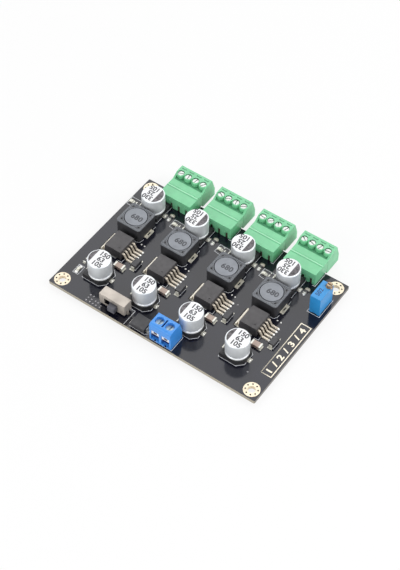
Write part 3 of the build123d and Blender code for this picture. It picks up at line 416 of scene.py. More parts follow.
def buried_copper():
    """Copper areas under a solder mask: noise read at snapped places gives square-edged areas, and their
    edges stand up slightly."""
    tree, given, out = start_group("buried copper", COMMON_INPUTS, COMMON_OUTPUTS)
    cell = (0.0009, 0.0009, 0.01)
    snapped = add(tree, "VectorMath", {0: given["Vector"], 1: cell}, operation="SNAP")
    raised = ramped(tree, noise(tree, snapped.outputs[0], 170.0, 1.0), 0.49, 0.51)
    weave = noise(tree, given["Vector"], given["Scale"], 2.0)
    return end_group(tree, given, out, reckoned(tree, "ADD", raised, reckoned(tree, "MULTIPLY", weave, 0.35)))


def corner_line():
    """Where a surface turns a corner: the cosine between its own normal and the normal softened over the
    radius, spread so that flat areas give 0 and corners 1."""
    tree, given, out = start_group("corner line", [("Radius", "NodeSocketFloat", 0.0002)], ("Corner",))
    soft = add(tree, "Bevel", {"Radius": given["Radius"]}, samples=4).outputs["Normal"]
    own = add(tree, "NewGeometry").outputs["Normal"]
    cosine = add(tree, "VectorMath", {0: soft, 1: own}, operation="DOT_PRODUCT").outputs["Value"]
    tree.links.new(ramped(tree, cosine, 0.99, 0.9), out["Corner"])
    return tree


GROUPS = {}


# Finishes: a tint is a tuple from 0 to 255, or a colour of the properties


def mixed(tree, amount, first, second):
    """Two colours, each a socket or a tint, mixed by amount."""
    first, second = ((*screen(*tint), 1.0) if isinstance(tint, tuple) else tint for tint in (first, second))
    return add(tree, "Mix", {0: amount, 6: first, 7: second}, data_type="RGBA").outputs[2]


def surface(name, tint, roughness, group, scale, mottle=0.08, relief=0.01, metallic=0.0, gloss=0.08,
            edge=0.0, coat=0.0, specular=0.5, stretch=None, wear=0.0):
    """A finish: Object coordinates feed one group, whose shade varies the colour, whose gloss varies the
    roughness and whose height feeds the bump. edge is the radius that softens corners, in millimetres,
    and wear is how much lighter the corners are, a painted highlight."""
    if name in bpy.data.materials:
        return bpy.data.materials[name]
    material = bpy.data.materials.new(name)
    material.use_nodes = True
    tree = material.node_tree
    shader = tree.nodes["Principled BSDF"].inputs
    for label, value in (("Metallic", metallic), ("Specular IOR Level", specular), ("Coat Weight", coat),
                         ("Coat Roughness", 0.12)):
        shader[label].default_value = value
    given = {"Vector": add(tree, "TexCoord").outputs["Object"], "Scale": scale, "Mottle": mottle}
    if stretch:
        given["Stretch"] = stretch
    effect = add(tree, "Group", given, node_tree=GROUPS[group]).outputs
    shade = effect["Shade"]
    # Lighter corners from the corner line: a painted highlight.
    if wear:
        corner = add(tree, "Group", {"Radius": edge * MM}, node_tree=GROUPS["corner line"])
        shade = reckoned(tree, "ADD", shade, reckoned(tree, "MULTIPLY", corner.outputs["Corner"], wear))
    tint = screen(*tint) if isinstance(tint, tuple) else tint
    shaded = add(tree, "HueSaturation", {"Color": (*tint, 1.0), "Value": shade})
    bump = add(tree, "Bump", {"Strength": 1.0, "Distance": relief * MM, "Height": effect["Height"]})
    if edge:
        soft = add(tree, "Bevel", {"Radius": edge * MM}, samples=4)
        tree.links.new(soft.outputs["Normal"], bump.inputs["Normal"])
    varied = ramped(tree, effect["Gloss"], 0.0, 1.0, max(roughness - gloss, 0.03), roughness + gloss)
    tree.links.new(shaded.outputs["Color"], shader["Base Color"])
    tree.links.new(varied, shader["Roughness"])
    tree.links.new(bump.outputs["Normal"], shader["Normal"])
    return material


def plastic(name, tint, roughness=0.42, edge=0.12, **rest):
    """Moulded plastic with softened corners."""
    rest = {"scale": 5200.0, "mottle": 0.05, "relief": 0.006, **rest}
    return surface(name, tint, roughness, "moulded grain", edge=edge, **rest)


def paint(name, tint, roughness=0.5, **rest):
    """The same without the softening, for print, shade and thin films."""
    return plastic(name, tint, roughness, edge=0.0, **rest)


def metal(name, tint, roughness, metallic, **rest):
    """Drawn or rolled metal."""
    return surface(name, tint, roughness, "drawn metal", 2600.0, metallic=metallic, **rest)


def tin(name, tint=(206, 204, 194), roughness=0.34, **rest):
    """Tinned or soldered metal."""
    rest = {"scale": 1500.0, "mottle": 0.12, "relief": 0.02, "metallic": 0.4, **rest}
    return surface(name, tint, roughness, "solder skin", **rest)


def board_finish(tint):
    """Black mask over buried copper; the cut sides show the tan glass-fibre core instead."""
    material = surface("solder mask", tint, 0.13, "buried copper", 900.0, mottle=0.3, relief=0.003,
                       gloss=0.03, specular=0.42)
    tree = material.node_tree
    base = tree.nodes["Principled BSDF"].inputs["Base Color"]
    masked = base.links[0].from_socket
    facing = add(tree, "SeparateXYZ", {0: add(tree, "NewGeometry").outputs["True Normal"]}).outputs
    level, long_side = (reckoned(tree, "GREATER_THAN", reckoned(tree, "ABSOLUTE", facing[axis]), 0.5)
                        for axis in "ZY")
    place = add(tree, "TexCoord").outputs["Object"]
    flat = add(tree, "VectorMath", {0: place, 1: (1.0, 1.0, 9.0)}, operation="MULTIPLY").outputs[0]
    plies = ramped(tree, noise(tree, flat, 700.0), 0.3, 0.7, 0.75, 1.15)
    fibre = mixed(tree, long_side, (96, 88, 80), (166, 158, 140))
    core = add(tree, "HueSaturation", {"Color": fibre, "Value": plies})
    tree.links.new(mixed(tree, level, core.outputs["Color"], masked), base)
    return material


def ferrite_finish(tint, rim, highlight_tint, level):
    """Dark coated ferrite, lighter above level in metres: there the top takes the rim tint, and on the upper
    sides this band is a painted sheen. The corners up there get a lighter tint, a painted highlight.
    """
    material = plastic("coated ferrite", tint, 0.5, edge=0.3, mottle=0.14, relief=0.012, scale=3600.0)
    tree = material.node_tree
    base = tree.nodes["Principled BSDF"].inputs["Base Color"]
    dark = base.links[0].from_socket
    place = add(tree, "TexCoord").outputs["Object"]
    ragged, highlight_radius = 0.0002, 0.0008
    rough = reckoned(tree, "MULTIPLY", noise(tree, place, 1500.0), ragged)
    height = reckoned(tree, "ADD", add(tree, "SeparateXYZ", {0: place}).outputs["Z"], rough)
    # Above level: the rim tint, which on the sides is a painted sheen.
    ground = ramped(tree, height, level, level + ragged)
    # Lighter corners up there: a painted highlight.
    corner = add(tree, "Group", {"Radius": highlight_radius}, node_tree=GROUPS["corner line"])
    top = mixed(tree, corner.outputs["Corner"], rim, highlight_tint)
    tree.links.new(mixed(tree, ground, dark, top), base)
    return material


# Operators


class CONVERTER_OT_board(bpy.types.Operator):
    """Finishes the board and its plated holes, and adds the small via holes."""

    bl_idname = "converter.board"
    bl_label = "Board"

    def execute(self, context):
        dress(board_finish(context.scene.converter_colours.board), "circuit_board")
        dress(metal("plated gold", (236, 222, 196), 0.38, 0.2, mottle=0.06), "mounting_hole_plating")
        dress(tin("solder pads", (196, 194, 184), 0.36, relief=0.03), "tinned_pads")
        dark = paint("hole shadow", (24, 22, 20), 0.6)
        collar_tin = tin("via tin", (176, 174, 178), 0.4, mottle=0.08, relief=0.01, metallic=0.3)
        low, high = corners("mounting_hole_plating")[:2]
        ring, via_circle = 3.4, 2.5
        centres = [(x, y) for x in (low[0] + ring, high[0] - ring) for y in (low[1] + ring, high[1] - ring)]
        around = arc((0, 0), via_circle, 22.5, 337.5, 8)
        small = [(*(centre + offset), PAD_TOP) for centre in centres for offset in around]
        vias = [(*on_board(*place), BOARD_TOP) for place in (
            (18.45, 4.26), (20.04, 4.33), (18.52, 2.75), (20.23, 2.66), (18.52, 1.13), (20.2, 1.27),
            (22.03, 2.83), (21.87, 1.22), (23.41, 2.76), (23.41, 1.27), (25.21, 2.1), (25.24, 1.27),
            (91.1, 9.9), (54.7, 14.2), (69.5, 34.5),
        )]
        plug = [(0, -0.02), (0.36, -0.02), (0.36, 0.008), (0, 0.008)]
        collar = [(0.12, -0.01), (0.3, -0.01), (0.3, 0.02), (0.26, 0.035), (0.12, 0.035), (0.12, -0.01)]
        core = [(0, -0.01), (0.13, -0.01), (0.13, 0.02), (0, 0.02)]
        for name, profile, turns, places, finish in (
            ("ring_via_holes", plug, 16, small, dark),
            ("via_collars", collar, 24, vias, collar_tin),
            ("via_holes", core, 16, vias, dark),
        ):
            shell = revolved(profile, turns=turns)
            make_piece(name, [repeated(shell, places)], finish)
        return {"FINISHED"}


class CONVERTER_OT_capacitors(bpy.types.Operator):
    """Turns the eight cans as smooth surfaces, with their dark segment and figures."""

    bl_idname = "converter.capacitors"
    bl_label = "Capacitors"

    def execute(self, context):
        tint = context.scene.converter_colours.can
        figure_height = context.scene.converter_sizes.can_print / MM
        finishes = {
            "cans": metal("drawn can", tint, 0.4, 0.4, mottle=0.04, gloss=0.05, relief=0.002,
                          stretch=(0.15, 0.15, 1.0)),
            "can_beads": metal("rolled bead", (244, 246, 248), 0.36, 0.2, mottle=0.03, relief=0.002),
            "can_films": paint("can film", (238, 239, 241), 0.35, mottle=0.015),
            "can_segments": paint("can segment", (82, 78, 82), 0.4, mottle=0.9, scale=16000.0),
            "can_figures": paint("can figures", (58, 58, 64)),
        }
        dress(plastic("capacitor base", (34, 34, 36), 0.55), "capacitor_bases")
        dress(tin("lead tin"), "capacitor_leads")
        for kind, facing, chord, figures in (
            ("input", -1, 2.6, "150\n63\n105"),
            ("output", 1, 1.9, "330\n25\n105"),
        ):
            nodes = each(f"{kind}_capacitor_can")
            shells = {name: [] for name in finishes}
            for node in nodes:
                low, high, middle = corners(node)
                middle = middle[:2]
                radius = (high[0] - low[0]) / 2
                foot, top = low[2], high[2]
                disc = radius - 0.55
                half = math.degrees(math.acos(chord / disc))
                turn = 0 if facing > 0 else 180
                segment = middle + arc((0, 0), disc, turn - half, turn + half, 33)
                shells["cans"].append(revolved(self.can_profile(radius, foot, top), middle, 128))
                shells["can_beads"].append(revolved(self.bead_profile(radius, foot), middle, 128))
                shells["can_films"].append(slab(middle + circle(disc, 96), top - 0.02, top + 0.01))
                shells["can_segments"].append(slab(segment, top, top + 0.03))
                shells["can_figures"].append(words(
                    figures, figure_height, middle - (facing * 1.15, 0.0), math.pi * (facing > 0), top, 0.03,
                    leading=0.86, bold=0.03,
                ))
            for name, finish in finishes.items():
                make_piece(f"{kind}_{name}", shells[name], finish,
                           stands_for=nodes if name == "cans" else ())
        return {"FINISHED"}

    def bead(self, radius, foot, start, end):
        """Part of the foot's bead, a quarter of an ellipse that ends level, between two angles."""
        turn = np.linspace(start, end, 9)
        return np.column_stack([radius - BEAD_DEPTH + BEAD_DEPTH * np.cos(turn),
                                foot + FOOT_ROUND + BEAD_HEIGHT * np.sin(turn)])

    def can_profile(self, radius, foot, top):
        """The bead at the foot, a short flank back out to the straight side, and a rounded top edge."""
        flank, edge = 0.85, 0.5
        groove = foot + FOOT_ROUND + BEAD_HEIGHT
        return np.vstack([
            [(0, foot)],
            arc((radius - FOOT_ROUND, foot + FOOT_ROUND), FOOT_ROUND, -90, 0),
            self.bead(radius, foot, 0, np.pi / 2),
            [(radius - 0.06, groove + flank - 0.08), (radius, groove + flank)],
            arc((radius - edge, top - edge), edge, 0, 90, 8),
            [(0, top)],
        ])

    def bead_profile(self, radius, foot):
        """A closed ring just over the foot's bead."""
        outer = self.bead(radius + 0.01, foot, 0.15, 1.3)
        inner = radius - 0.7
        return np.vstack([outer, [(inner, outer[-1][1]), (inner, outer[0][1])], outer[:1]])


class CONVERTER_OT_inductors(bpy.types.Operator):
    """Finishes the sleeves and terminals, and turns the cores and windings."""

    bl_idname = "converter.inductors"
    bl_label = "Inductors"

    def execute(self, context):
        colours = context.scene.converter_colours
        figure_height = context.scene.converter_sizes.core_print / MM
        shield_high, shield_middle = corners("inductor_shield_1")[1:]
        rim = shield_high[2]
        # Above rim - 0.65 the sleeve takes the rim tint, a painted sheen on the sides, and lighter corners, a
        # painted highlight.
        sleeve = ferrite_finish(colours.ferrite, (76, 78, 83), (134, 138, 144), (rim - 0.65) * MM)
        # Dark discs in the top's corner dimples and dark slabs over the terminals' notches: painted shade.
        pit = paint("pit and notch shade", (34, 34, 36), 0.7)
        core = plastic("ground core", colours.core, 0.55, mottle=0.08, relief=0.008, edge=0.1)
        copper = metal("enamelled wire", (176, 92, 52), 0.3, 1.0, mottle=0.06, relief=0.004,
                       stretch=UPRIGHT_LINES)
        ink = paint("core figures", (66, 68, 74))
        dress(sleeve, *each("inductor_shield"))
        dress(tin("strip tin", (206, 202, 188), 0.4, scale=1300.0, mottle=0.3, relief=0.06, metallic=0.3),
              "inductor_terminals")
        low, high = corners("inductor_cores")[:2]
        foot, top = low[2], high[2]
        flange, post, wall, edge = shield_middle[0] - low[0], 2.3, 1.3, 0.12
        core_profile = np.vstack([
            [(0, foot), (flange, foot), (flange, foot + wall), (post, foot + wall), (post, top - wall),
             (flange, top - wall)],
            arc((flange - edge, top - edge), edge, 0, 90, 4),
            [(0, top)],
        ])
        low, high = corners("inductor_windings")[:2]
        inner, outer, dip, pitch = 2.4, 4.5, 0.14, 0.3
        height = np.linspace(low[2], high[2], 61)
        wire = outer - dip * (0.5 + 0.5 * np.cos(2 * np.pi * (height - low[2]) / pitch))
        coil_profile = np.vstack([
            [(inner, low[2])], np.column_stack([wire, height]), [(inner, high[2]), (inner, low[2])],
        ])
        middles = [corners(node)[2][:2] for node in each("inductor_shield")]
        # Painted shade in the terminals' notches.
        notches = [box((x + 6.25, y - 0.85, PAD_TOP + 0.28), (x + 6.85, y + 0.85, PAD_TOP + 0.32))
                   for x, y in middles]
        cores = [revolved(core_profile, middle) for middle in middles]
        coils = [revolved(coil_profile, middle, 72) for middle in middles]
        figures = [words("680", figure_height, middle + (0.7, -0.2), low=top, spread=1.05, bold=0.035)
                   for middle in middles]
        # Painted shade in the corner dimples.
        pits = [slab(middle + (x, y) + circle(0.42, 16), rim - 0.35, rim - 0.28)
                for middle in middles for y in (4.0, -4.0) for x in (-4.4, 4.4)]
        make_piece("inductor_foot_notches", notches, pit)
        make_piece("inductor_core_discs", cores, core, stands_for=["inductor_cores"])
        make_piece("inductor_coils", coils, copper, stands_for=["inductor_windings"])
        make_piece("inductor_figures", figures, ink)
        make_piece("inductor_pits", pits, pit)
        return {"FINISHED"}


class CONVERTER_OT_regulators(bpy.types.Operator):
    """Finishes regulators, diodes, ceramic capacitors, chips and lamps."""

    bl_idname = "converter.regulators"
    bl_label = "Regulators and small parts"

    def execute(self, context):
        mould = context.scene.converter_colours.mould
        # The regulators' and diodes' lighter corners are a painted highlight.
        dress(plastic("moulded black", mould, 0.48, edge=0.18, mottle=0.1, relief=0.01, wear=0.3),
              *each("regulator_body"))
        dress(plastic("diode black", (52, 52, 55), 0.45, edge=0.15, mottle=0.1, wear=0.3), "diode_bodies")
        dress(tin("regulator tin", (196, 186, 170), mottle=0.14, relief=0.015, metallic=0.3, edge=0.08),
              "regulator_leadframes")
        dress(tin("lead tin"), "diode_terminals")
        dress(tin("chip ends", (208, 208, 200), edge=0.06), "chip_terminations")
        dress(plastic("fired ceramic", (170, 150, 138), 0.38, edge=0.15, mottle=0.12), "ceramic_capacitors")
        dress(plastic("resistor glaze", (34, 34, 38), 0.25, edge=0.08), "chip_resistors")
        dress(plastic("lamp lens", (240, 238, 222), 0.2, edge=0.1, coat=0.5), "light_emitting_diodes")
        solder = tin("tab solder", (226, 221, 206), scale=1300.0, relief=0.03, metallic=0.25)
        # Dark brown marks on the board: a patch round the leads and a strip beyond each tab.
        brown_mark = paint("brown_mark", (30, 20, 16), 0.4, mottle=0.3, specular=0.2)
        section = [(-0.02, 0.0), (0.9, 0.0), (0.65, 0.8), (0.45, 1.25), (-0.02, 1.3)]
        lead_patch = np.array([(-0.3, -3.6), (4.6, -3.5), (5.1, 0.0), (4.6, 3.5), (-0.3, 3.6)])
        brown_patches = []
        fillets = []
        for node in each("regulator_body"):
            low, high, middle = corners(node)
            y = middle[1]
            tab_end = low[0] - 1.34
            brown_patches.append(slab(lead_patch + (high[0], y), BOARD_TOP - 0.01, BOARD_TOP + 0.03))
            brown_patches.append(box((tab_end - 1.4, y - 5.0, BOARD_TOP - 0.01),
                               (tab_end, y + 5.0, PAD_TOP + 0.01)))
            edge = [(tab_end, y + 4.4, PAD_TOP), (tab_end, y - 4.9, PAD_TOP)]
            fillets.append(carried(edge, (-1, 0, 0), (0, 0, 1), section))
        make_piece("tab_fillets", fillets, solder)
        make_piece("brown_board_marks", brown_patches, brown_mark)
        return {"FINISHED"}


class CONVERTER_OT_outputs(bpy.types.Operator):
    """Finishes headers and plugs, and adds the screws, painted shade in the wells, on the floors between the
    towers and in the marks, and the lip, a painted highlight line and a painted shade line round their joint.
    """

    bl_idname = "converter.outputs"
    bl_label = "Output terminals"

    def execute(self, context):
        edge = context.scene.converter_sizes.edge_round / MM
        # The green's lighter corners are a painted highlight.
        green = plastic("terminal green", context.scene.converter_colours.terminal, 0.38, edge=edge, wear=0.5)
        # Painted shade for the wells' linings, the floors between the towers and the marks behind the screws.
        recess_shade = paint("deep green", (66, 140, 98))
        # A painted highlight line along the rib at the joint.
        pale = paint("painted highlight green", (172, 232, 194), 0.4)
        shade = paint("shaded green", (92, 176, 126))
        nickel = metal("screw nickel", (206, 211, 207), 0.34, 0.3, edge=0.06, stretch=UPRIGHT_LINES)
        brass = metal("cage brass", (206, 176, 104), 0.3, 1.0, mottle=0.06, relief=0.004,
                      stretch=UPRIGHT_LINES)
        # The pins' tin is darkened to a brown-grey: painted shade for the grooves they sit in.
        dress(tin("pin tin in shade", (88, 80, 66), 0.45), "header_pins")
        slot_turns = np.radians((20, 95, 80, 60, 150, 25, 100, 35, 170, 40, 120, 75, 140, 165, 75, 10))
        for channel, turns in zip(CHANNELS, slot_turns.reshape(4, 4)):
            plug = f"plug_{channel}"
            dress(green, f"header_housing_{channel}", f"plug_housing_{channel}")
            dress(brass, f"plug_cages_{channel}")
            foot = corners(f"plug_screws_{channel}")[0][2]
            header_low, header_high = corners(f"header_housing_{channel}")[:2]
            plug_low, plug_high = corners(f"plug_housing_{channel}")[:2]
            left, right, roof = plug_low[0], plug_high[0], plug_high[2]
            poles = clamp_places(channel)
            row = poles[0][1]
            screws = [self.screw(place, turn, foot, roof) for place, turn in zip(poles, turns)]
            make_piece(f"plug_screw_heads_{channel}", screws, nickel, body=plug,
                       stands_for=[f"plug_screws_{channel}"])
            deck, joint = header_high[2] - 0.12, header_high[1] - 3.0
            back = header_low[1] + 0.04
            well = revolved([(1.5, roof - 2.2), (1.5, roof - 0.03), (1.46, roof - 0.03), (1.46, roof - 2.2),
                             (1.5, roof - 2.2)], turns=48)
            mark = ribbon([(-1.1, 0.4), (-0.85, 0.0), (0.85, 0.0), (1.1, 0.4)], 0.42,
                          roof - 0.02, roof + 0.02)
            frames = [box((x + near, back, BOARD_TOP + bottom), (x + far, back + 1.3, BOARD_TOP + 4.4))
                      for x, y in poles
                      for near, far, bottom in ((-0.93, -0.55, 0.05), (0.55, 0.93, 0.05), (-0.56, 0.56, 3.2))]
            # The lip fills the joint; then come a painted highlight along the rib, a painted shade line in
            # front of it, and painted shade on the floor between the towers.
            strips = [box((left + inset, front, deck + bottom), (right - inset, rear, deck + top))
                      for inset, front, rear, bottom, top in (
                          (0.1, joint - 0.15, joint + 0.05, -0.4, -0.03),
                          (0.1, joint - 0.9, joint - 0.5, 0.1, 0.13),
                          (0.1, joint - 1.35, joint - 0.92, -0.02, 0.01),
                          (0.85, header_high[1] + 0.22, row, -0.01, 0.015))]
            lip, highlight_rib, shade_rib, floor = ([strip] for strip in strips)
            for name, shells, finish, body in (
                ("plug_lip", lip, green, plug),
                ("rib_highlight", highlight_rib, pale, "board"),
                ("rib_shade", shade_rib, shade, "board"),
                ("plug_floors", floor, recess_shade, plug),
                ("plug_wells", [repeated(well, poles)], recess_shade, plug),
                ("groove_frames", frames, green, "board"),
                ("plug_marks", [repeated(mark, [(x, y + 2.4) for x, y in poles])], recess_shade, plug),
            ):
                make_piece(f"{name}_{channel}", shells, finish, body=body)
        return {"FINISHED"}

    def screw(self, place, turn, foot, roof):
        """A slotted screw: the head's half disc on each side of the slot and the shank are prisms whose
        outlines turn with the slot."""
        radius, half, head, floor = 1.4, 0.24, roof - 0.4, roof - 0.95
        cos, sin = math.cos(turn), math.sin(turn)
        spin = np.array(((cos, sin), (-sin, cos)))
        reach = math.degrees(math.asin(half / radius))
        shells = []
        for start in (0, 180):
            lobe = arc((0, 0), radius, start + reach, start + 180 - reach, 25)
            shells.append(slab(place + lobe @ spin, floor - 0.4, head - 0.1))
            shells.append(slab(place + lobe * 0.94 @ spin, head - 0.12, head))
        shells.append(slab(place + circle(radius, 48), floor - 0.6, floor))
        shells.append(slab(place + circle(1.0, 32), foot, floor - 0.5))
        return joined(shells)


class CONVERTER_OT_controls(bpy.types.Operator):
    """Finishes the slide switch, the input terminal and the trimmer."""

    bl_idname = "converter.controls"
    bl_label = "Switch, input terminal and trimmer"

    def execute(self, context):
        colours = context.scene.converter_colours
        edge = context.scene.converter_sizes.edge_round / MM
        shell = metal("switch shell", (173, 165, 156), 0.36, 0.3, edge=0.25, stretch=(0.1, 1.0, 1.0),
                      mottle=0.16)
        knob = plastic("switch knob", (74, 74, 82), 0.5, edge=0.15)
        plate = metal("clamp plate", (238, 240, 246), 0.34, 0.3)
        brass = metal("turned brass", (156, 134, 110), 0.36, 0.45, edge=0.08, stretch=UPRIGHT_LINES)
        # The blue's lighter corners are a painted highlight.
        blue = plastic("input terminal blue", colours.input_terminal, 0.36, edge=edge, wear=0.35)
        dress(shell, "switch_shell")
        dress(plastic("pressed board", (120, 74, 48), 0.7, mottle=0.2), "switch_wafer")
        dress(knob, "switch_slider")
        dress(tin("lead tin"), "switch_pins", "input_terminal_pins", "trimmer_pins")
        dress(blue, "input_terminal_housing")
        dress(metal("terminal nickel", (172, 190, 194), 0.4, 0.35, edge=0.08), "input_terminal_screws")
        dress(plate, "input_terminal_cages")
        dress(plastic("trimmer blue", colours.trimmer, 0.4, edge=edge), "trimmer_housing")
        dress(brass, "trimmer_screw")
        self.terminal_parts(plate)
        self.trimmer_parts(brass)
        low, high, middle = corners("switch_slider")
        ribs = [pillow((middle[0] + offset, low[1] + 0.02, 4.75), (0.14, 0.1, 1.15), 3.0)
                for offset in (-1.05, -0.35, 0.35, 1.05)]
        make_piece("knob_ribs", ribs, knob, body="switch_knob")
        low, high = corners("switch_shell")[:2]
        dimples = [pillow((x, low[1] + 0.01, 6.8), (0.42, 0.06, 0.42), 2.0)
                   for x in (high[0] - 1.9, low[0] + 1.3)]
        make_piece("shell_dimples", dimples, shell)
        high, middle = corners("trimmer_housing")[1:]
        mark = words("502", 1.9, middle[:2] - (0.5, 1.2), math.pi / 2, high[2], spread=1.05)
        make_piece("trimmer_figures", [mark], paint("trimmer ink", (14, 50, 100)))
        return {"FINISHED"}

    def terminal_parts(self, plate):
        """The clamp plates in the wire mouths, painted shade in their holes and below them, and painted shade
        in the groove between the poles.
        """
        low, high = corners("input_terminal_cages")[:2]
        wide, wall, cage, thick, thin = 3.7, 0.5, 3.3, 0.5, 0.35
        plates = []
        deeps = []
        shades = []
        for left in (low[0], high[0] - wide):
            x, y, z = left + wall, low[1] + 0.05, low[2] + 1.0
            end, back, top = left + wide - wall, low[1] + 0.35, low[2] + cage - wall
            plates += [box((x, y, z), (x + thick, back, top)),
                       box((end - thick, y, z), (end, back, top)),
                       box((x + thick, y, z), (end - thick, back, z + thin)),
                       box((x + thick, y, top - thin), (end - thick, back, top))]
            deeps.append(box((x + thick, y + 0.2, z + thin), (end - thick, back, top - thin)))
            # Painted shade below each plate, in the mouth.
            shades.append(box((left + 0.15, low[1] - 0.08, low[2] + 0.05), (left + wide - 0.15, back, z)))
        make_piece("clamp_plates", plates, plate)
        make_piece("clamp_shade", deeps, paint("clamp shade", (52, 30, 34), 0.6, specular=0.1))
        high, middle = corners("input_terminal_housing")[1:]
        x, y = middle[0], corners("input_terminal_screws")[2][1]
        shades.append(box((x - 0.34, y - 1.95, high[2] - 1.0), (x + 0.34, y + 1.95, high[2] - 0.3)))
        make_piece("terminal_groove_shade", shades, paint("mouth and groove shade", (8, 26, 80), 0.6, specular=0.1))

    def trimmer_parts(self, brass):
        """The screw's shoulder in its notch, and the shade at the bottom of its slot."""
        high, middle = corners("trimmer_screw")[1:]
        x, y = middle[:2]
        roof = corners("trimmer_housing")[1][2]
        shoulder = revolved([(0.9, roof - 1.1), (1.42, roof - 1.1), (1.42, roof - 0.3), (1.3, roof - 0.2),
                             (0.9, roof - 0.2), (0.9, roof - 1.1)], (x, y), 64)
        reach, half, floor = 1.0, 0.22, high[2] - 0.5
        line = box((x - reach, y - half, floor - 0.01), (x + reach, y + half, floor + 0.02))
        for name, shell, finish in (
            ("trimmer_shoulder", shoulder, brass),
            ("trimmer_slot_shade", line, paint("slot shade", (70, 48, 32), 0.6)),
        ):
            make_piece(name, [shell], finish, body="trimmer_adjuster")


class CONVERTER_OT_print(bpy.types.Operator):
    """Prints the white outlines and figures on the board."""

    bl_idname = "converter.print"
    bl_label = "Board print"

    def execute(self, context):
        white = paint("board print", context.scene.converter_colours.print, 0.55, mottle=0.06)
        cream = paint("label print", (255, 246, 224), 0.55, mottle=0.06)
        width = context.scene.converter_sizes.print_width / MM
        low, high = BOARD_TOP, BOARD_TOP + PRINT_THICKNESS
        lines = [
            [(35.84, 8.0), (38.1, 8.0), (38.1, 0.2)],
            [(61.28, 8.5), (61.28, 0.7), (50.9, 0.7)],
            [(50.5, 8.7), (61.28, 8.7)],
            [(39.75, 5.6), (39.65, 2.1)],
            [(40.5, 1.1), (47.8, 0.95), (49.26, 2.2)],
            [(93.8, 58.5), (93.8, 48.0), (99.5, 48.0), (99.5, 58.5)],
            [(4.95, 9.4), (7.65, 9.4), (7.65, 14.0), (4.95, 14.0), (4.95, 9.5)],
        ]
        for channel in CHANNELS:
            x = corners(f"header_housing_{channel}")[1][0] - BOARD_LOW[0] + 0.4
            lines.append([(x, 68.0), (x, 60.3), (x - 1.2, 60.3)])
            for kind, facing in (("input", 1), ("output", -1)):
                x, y = (corners(f"{kind}_capacitor_can_{channel}")[2] - BOARD_LOW)[:2]
                reach, cut = 5.35, 2.9
                near, corner, far = x - facing * reach, x + facing * cut, x + facing * reach
                for way, gap in ((1, 1.2), (-1, 1.6)):
                    lines.append([(near, y + way * gap), (near, y + way * reach), (corner, y + way * reach),
                                  (far, y + way * cut), (far, y + way * gap)])
            lamp = x - 10.4
            lines.append([(lamp + 1.3, 51.5), (lamp - 1.4, 51.85), (lamp - 1.4, 56.15), (lamp + 3.2, 56.1),
                          (lamp + 4.75, 55.1)])
            x, y = (corners(f"inductor_shield_{channel}")[2] - BOARD_LOW)[:2]
            chips = x + 0.15
            lines += [
                [(x + 6.4, y - 3.6), *arc((x + 4.4, y - 4.4), 2.0, 0, -90, 7), (x + 1.5, y - 6.4)],
                [(x + 6.45, y + 3.0), (x + 6.45, y + 4.9)],
                [(chips - 0.5, 25.05), (chips + 3.0, 25.05)],
                [(chips + 4.4, 24.75), (chips + 6.23, 24.75), (chips + 6.23, 26.9)],
                [(chips + 13.35, 24.5), (chips + 13.35, 29.0)],
            ]
        shells = [ribbon([on_board(*point) for point in line], width, low, high) for line in lines]
        make_piece("board_print", shells, white)
        frame_line = [on_board(x, y) for x, y in ((95.35, 12.9), (99.9, 12.9), (99.9, 41.57), (95.35, 41.57))]
        label = [
            ribbon(frame_line, 0.38, low, high, closed=True),
            words("1 / 2 / 3 / 4", 2.7, on_board(97.65, 27.2), math.pi / 2, low, spread=1.2, bold=0.03,
                  run=25.0),
        ]
        make_piece("label_print", label, cream)
        return {"FINISHED"}


